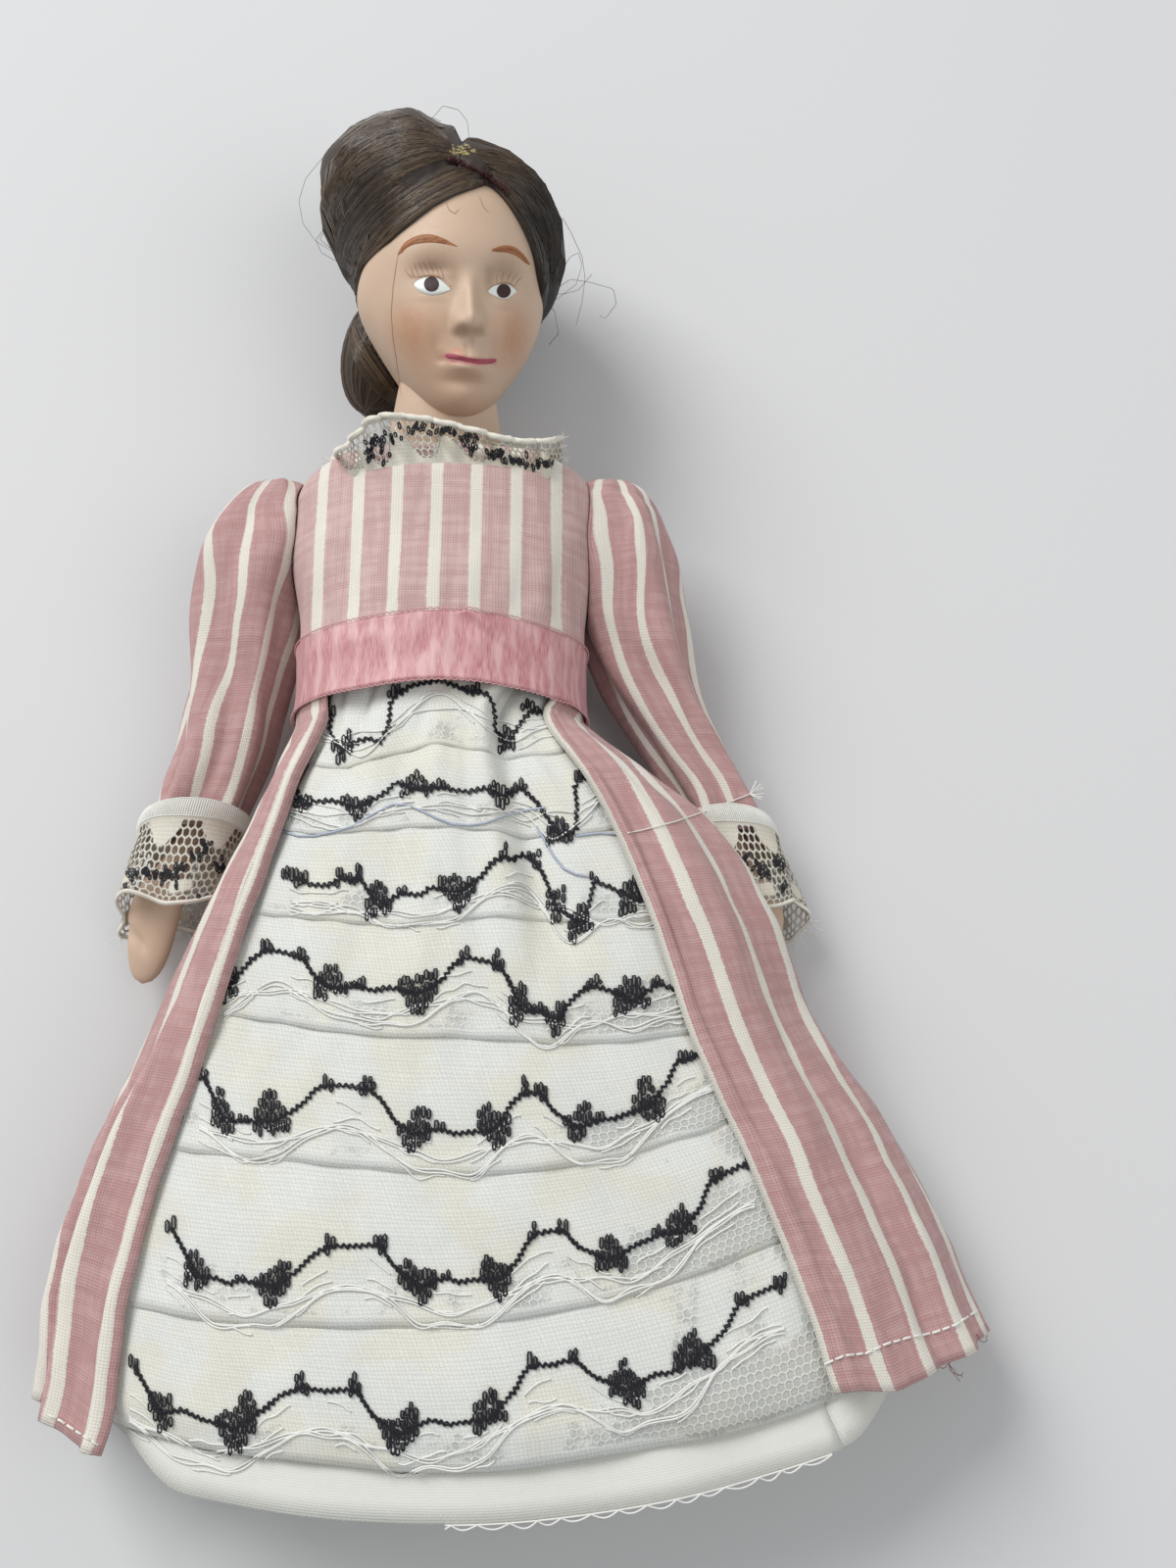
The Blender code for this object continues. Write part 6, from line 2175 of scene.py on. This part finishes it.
# %% Hem stitches and braid
def dressed_tree(pieces):
    """One search tree over pieces with their thickness."""
    whole = bmesh.new()
    ready = bpy.context.evaluated_depsgraph_get()
    for piece in pieces:
        whole.from_object(piece, ready)
    return cloth_tree(whole)


random.seed(23)
over_cast = dressed_tree([overskirt])


STITCH_POINTS = 2.256      # points of a drawn line for each unit of a stitch's length


def running_stitch(points, tree, long=3.4, gap=1.3):
    """Short raised stitches along a drawn line, each rounded down into the cloth at its ends."""
    made, run = [], drawn(points, 1.0)
    step = 0
    while step + 3 < len(run):
        size = max(3, round((long + uniform(-0.7, 0.7)) * STITCH_POINTS))
        part = run[step:step + size + 1]
        lift = [0.02 + 0.2 * sin(pi * count / max(len(part) - 1, 1)) for count in range(len(part))]
        spots = [set_down(x, y + uniform(-0.25, 0.25), up, tree) for (x, y), up in zip(part, lift)]
        if all(spots) and len(spots) > 2:
            made.append(spots)
        step += size + max(1, round(gap * STITCH_POINTS))
    return made


HEM_RIGHT = [(842, 1392), (862, 1383), (884, 1381), (905, 1371), (930, 1364), (952, 1360), (975, 1352),
             (1000, 1335)]
HEM_LEFT = [(50, 1444), (62, 1450), (80, 1462), (96, 1472), (110, 1481), (132, 1500)]
hem_stitches = threads("overskirt_hem_stitches", running_stitch(HEM_RIGHT, over_cast)
                       + running_stitch(HEM_LEFT, over_cast), 0.15, WHITE_THREAD, sides=1)
hem_line = [under_place(0.008 + 0.20 * count / 900, 1.0) for count in range(901)]
run, braid = [0.0], []
for one, two in zip(hem_line, hem_line[1:]):
    run.append(run[-1] + (two - one).length)
for strand in (0, 1):
    path = []
    for spot, reach in zip(hem_line, run):
        wander = uneven.noise(Vector((reach / 6.0, 4.0, strand)))
        drop = (0.62 + 0.25 * wander) * abs(sin(pi * (reach + wander) / 3.4)) if strand else 0.0
        path.append(spot + Vector((0.0, -0.12 - drop, 0.05 + 0.2 * strand - 0.3 * drop)))
    braid.append(path)
hem_braid = threads("underskirt_hem_braid", braid, 0.11, WHITE_THREAD)
print("hem stitches:", len(hem_stitches.data.polygons), "braid faces:", len(hem_braid.data.polygons))

# %% Loose threads and lint
all_cast = dressed_tree([overskirt, underskirt, panel] + sleeves + tiers)
LOOSE_END = [(640, 850), (655, 847), (690, 838), (725, 826), (758, 813), (786, 802), (806, 797)]
loose = sewn(drawn(LOOSE_END, 2.5), 0.2, all_cast)
fluff = []
if loose:
    tip = loose[-1][-1]
    for number in range(16):
        lean = Vector((1.0, 0.15, 0.1)) + Vector((gauss(0, 0.2), gauss(0, 0.5), gauss(0, 0.2)))
        fluff.append([tip + lean.normalized() * 2.0 * step / 5 + Vector((0, 0.1 * step * step / 9, 0))
                      for step in range(6)])
loose_thread = threads("skirt_loose_thread", loose + fluff, 0.09, WHITE_THREAD, sides=0)
lint = []
for number in range(9):
    spot = set_down(1004 + gauss(0, 4), 1368 + gauss(0, 5), 0.15, over_cast) \
        or over_face(0.86, 1.0) + Vector((0.6, 0.0, 0.0))
    turn, path = uniform(0, 6), [spot]
    for step in range(8):
        turn += uniform(-1.0, 1.0)
        path.append(path[-1] + Vector((cos(turn), sin(turn), 0.1)) * 0.32)
    lint.append(path)
skirt_lint = threads("skirt_lint", lint, 0.045, yarn_finish("brown_lint", (0.16, 0.07, 0.05, 1.0)))
print("loose threads:", len(loose), "fluff:", len(fluff), "lint:", len(lint))

# %% [markdown]
# Under the dress is a stuffed body of plain cotton, with fired clay boots. The
# solid model already gives their shapes, so they keep them and only get
# finishes. The cloth of the body has no unrolled pattern of its own, so its
# weave is read in the space of the piece.

# %% Finishes for the body
def body_cotton():
    made, tree, main = finish("body_cotton", 0.92)
    place = coordinates(tree, "Object")
    weave = placed(tree, WEAVE, Cloth=scaled(tree, place, 10.0), Pitch=0.4, Unevenness=0.9)
    blotch = placed(tree, BLOTCH, Place=place, Size=11.0, Strength=0.2)
    # the gaps of the weave are darkened: painted shade between the yarns; the blotch is uneven tone
    shade = times(tree, blotch.outputs["Tone"],
                 between(tree, weave.outputs["Gap"], 0.0, 1.0, 1.0, 0.86))
    coloured(tree, main, tinted(tree, (0.70, 0.68, 0.61), shade))
    wrinkle = noise(tree, place, 240.0, 3.0, (1.0, 0.45, 1.0))
    relief(tree, main, calc(tree, "MULTIPLY_ADD", wrinkle, 3.0, weave.outputs["Height"]), 0.09, 0.8)
    return made


def fired_boot():
    made, tree, main = finish("bisque_boot", 0.5)
    place = coordinates(tree, "Object")
    low = between(tree, times(tree, parts_of(tree, place)[1], 1000.0), -70.0, -72.5)
    blotch = placed(tree, BLOTCH, Place=place, Size=5.0, Strength=0.12)
    colour = blend(tree, low, (0.66, 0.55, 0.47, 1.0), (0.035, 0.030, 0.032, 1.0))
    coloured(tree, main, tinted(tree, colour, blotch.outputs["Tone"]))
    tree.links.new(between(tree, low, 0.0, 1.0, 0.5, 0.28), main.inputs["Roughness"])
    relief(tree, main, noise(tree, place, 900.0, 3.0), 0.03, 0.5)
    return made


BODY_COTTON, BOOT = body_cotton(), fired_boot()
for name in ("torso", "upper_arm_left", "upper_arm_right", "upper_leg_left", "upper_leg_right"):
    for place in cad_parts[name].material_slots:
        place.material = BODY_COTTON
for name in ("lower_leg_left", "lower_leg_right"):
    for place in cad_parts[name].material_slots:
        place.material = BOOT
print("finished nodes:", [name for name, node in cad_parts.items() if not node.hide_render])

# %% [markdown]
# ## Cut sizes of the cloth
#
# A gathered skirt is cut as wide as its hem, and its area is less than the
# rectangle where it is shaped toward the waist.

# %% Sheets
print("sheets declared:", 10 + len(tiers))
# %% [markdown]
# ## Last update
#
# The last cell updates the scene once more.

# %% Update
bpy.context.view_layer.update()
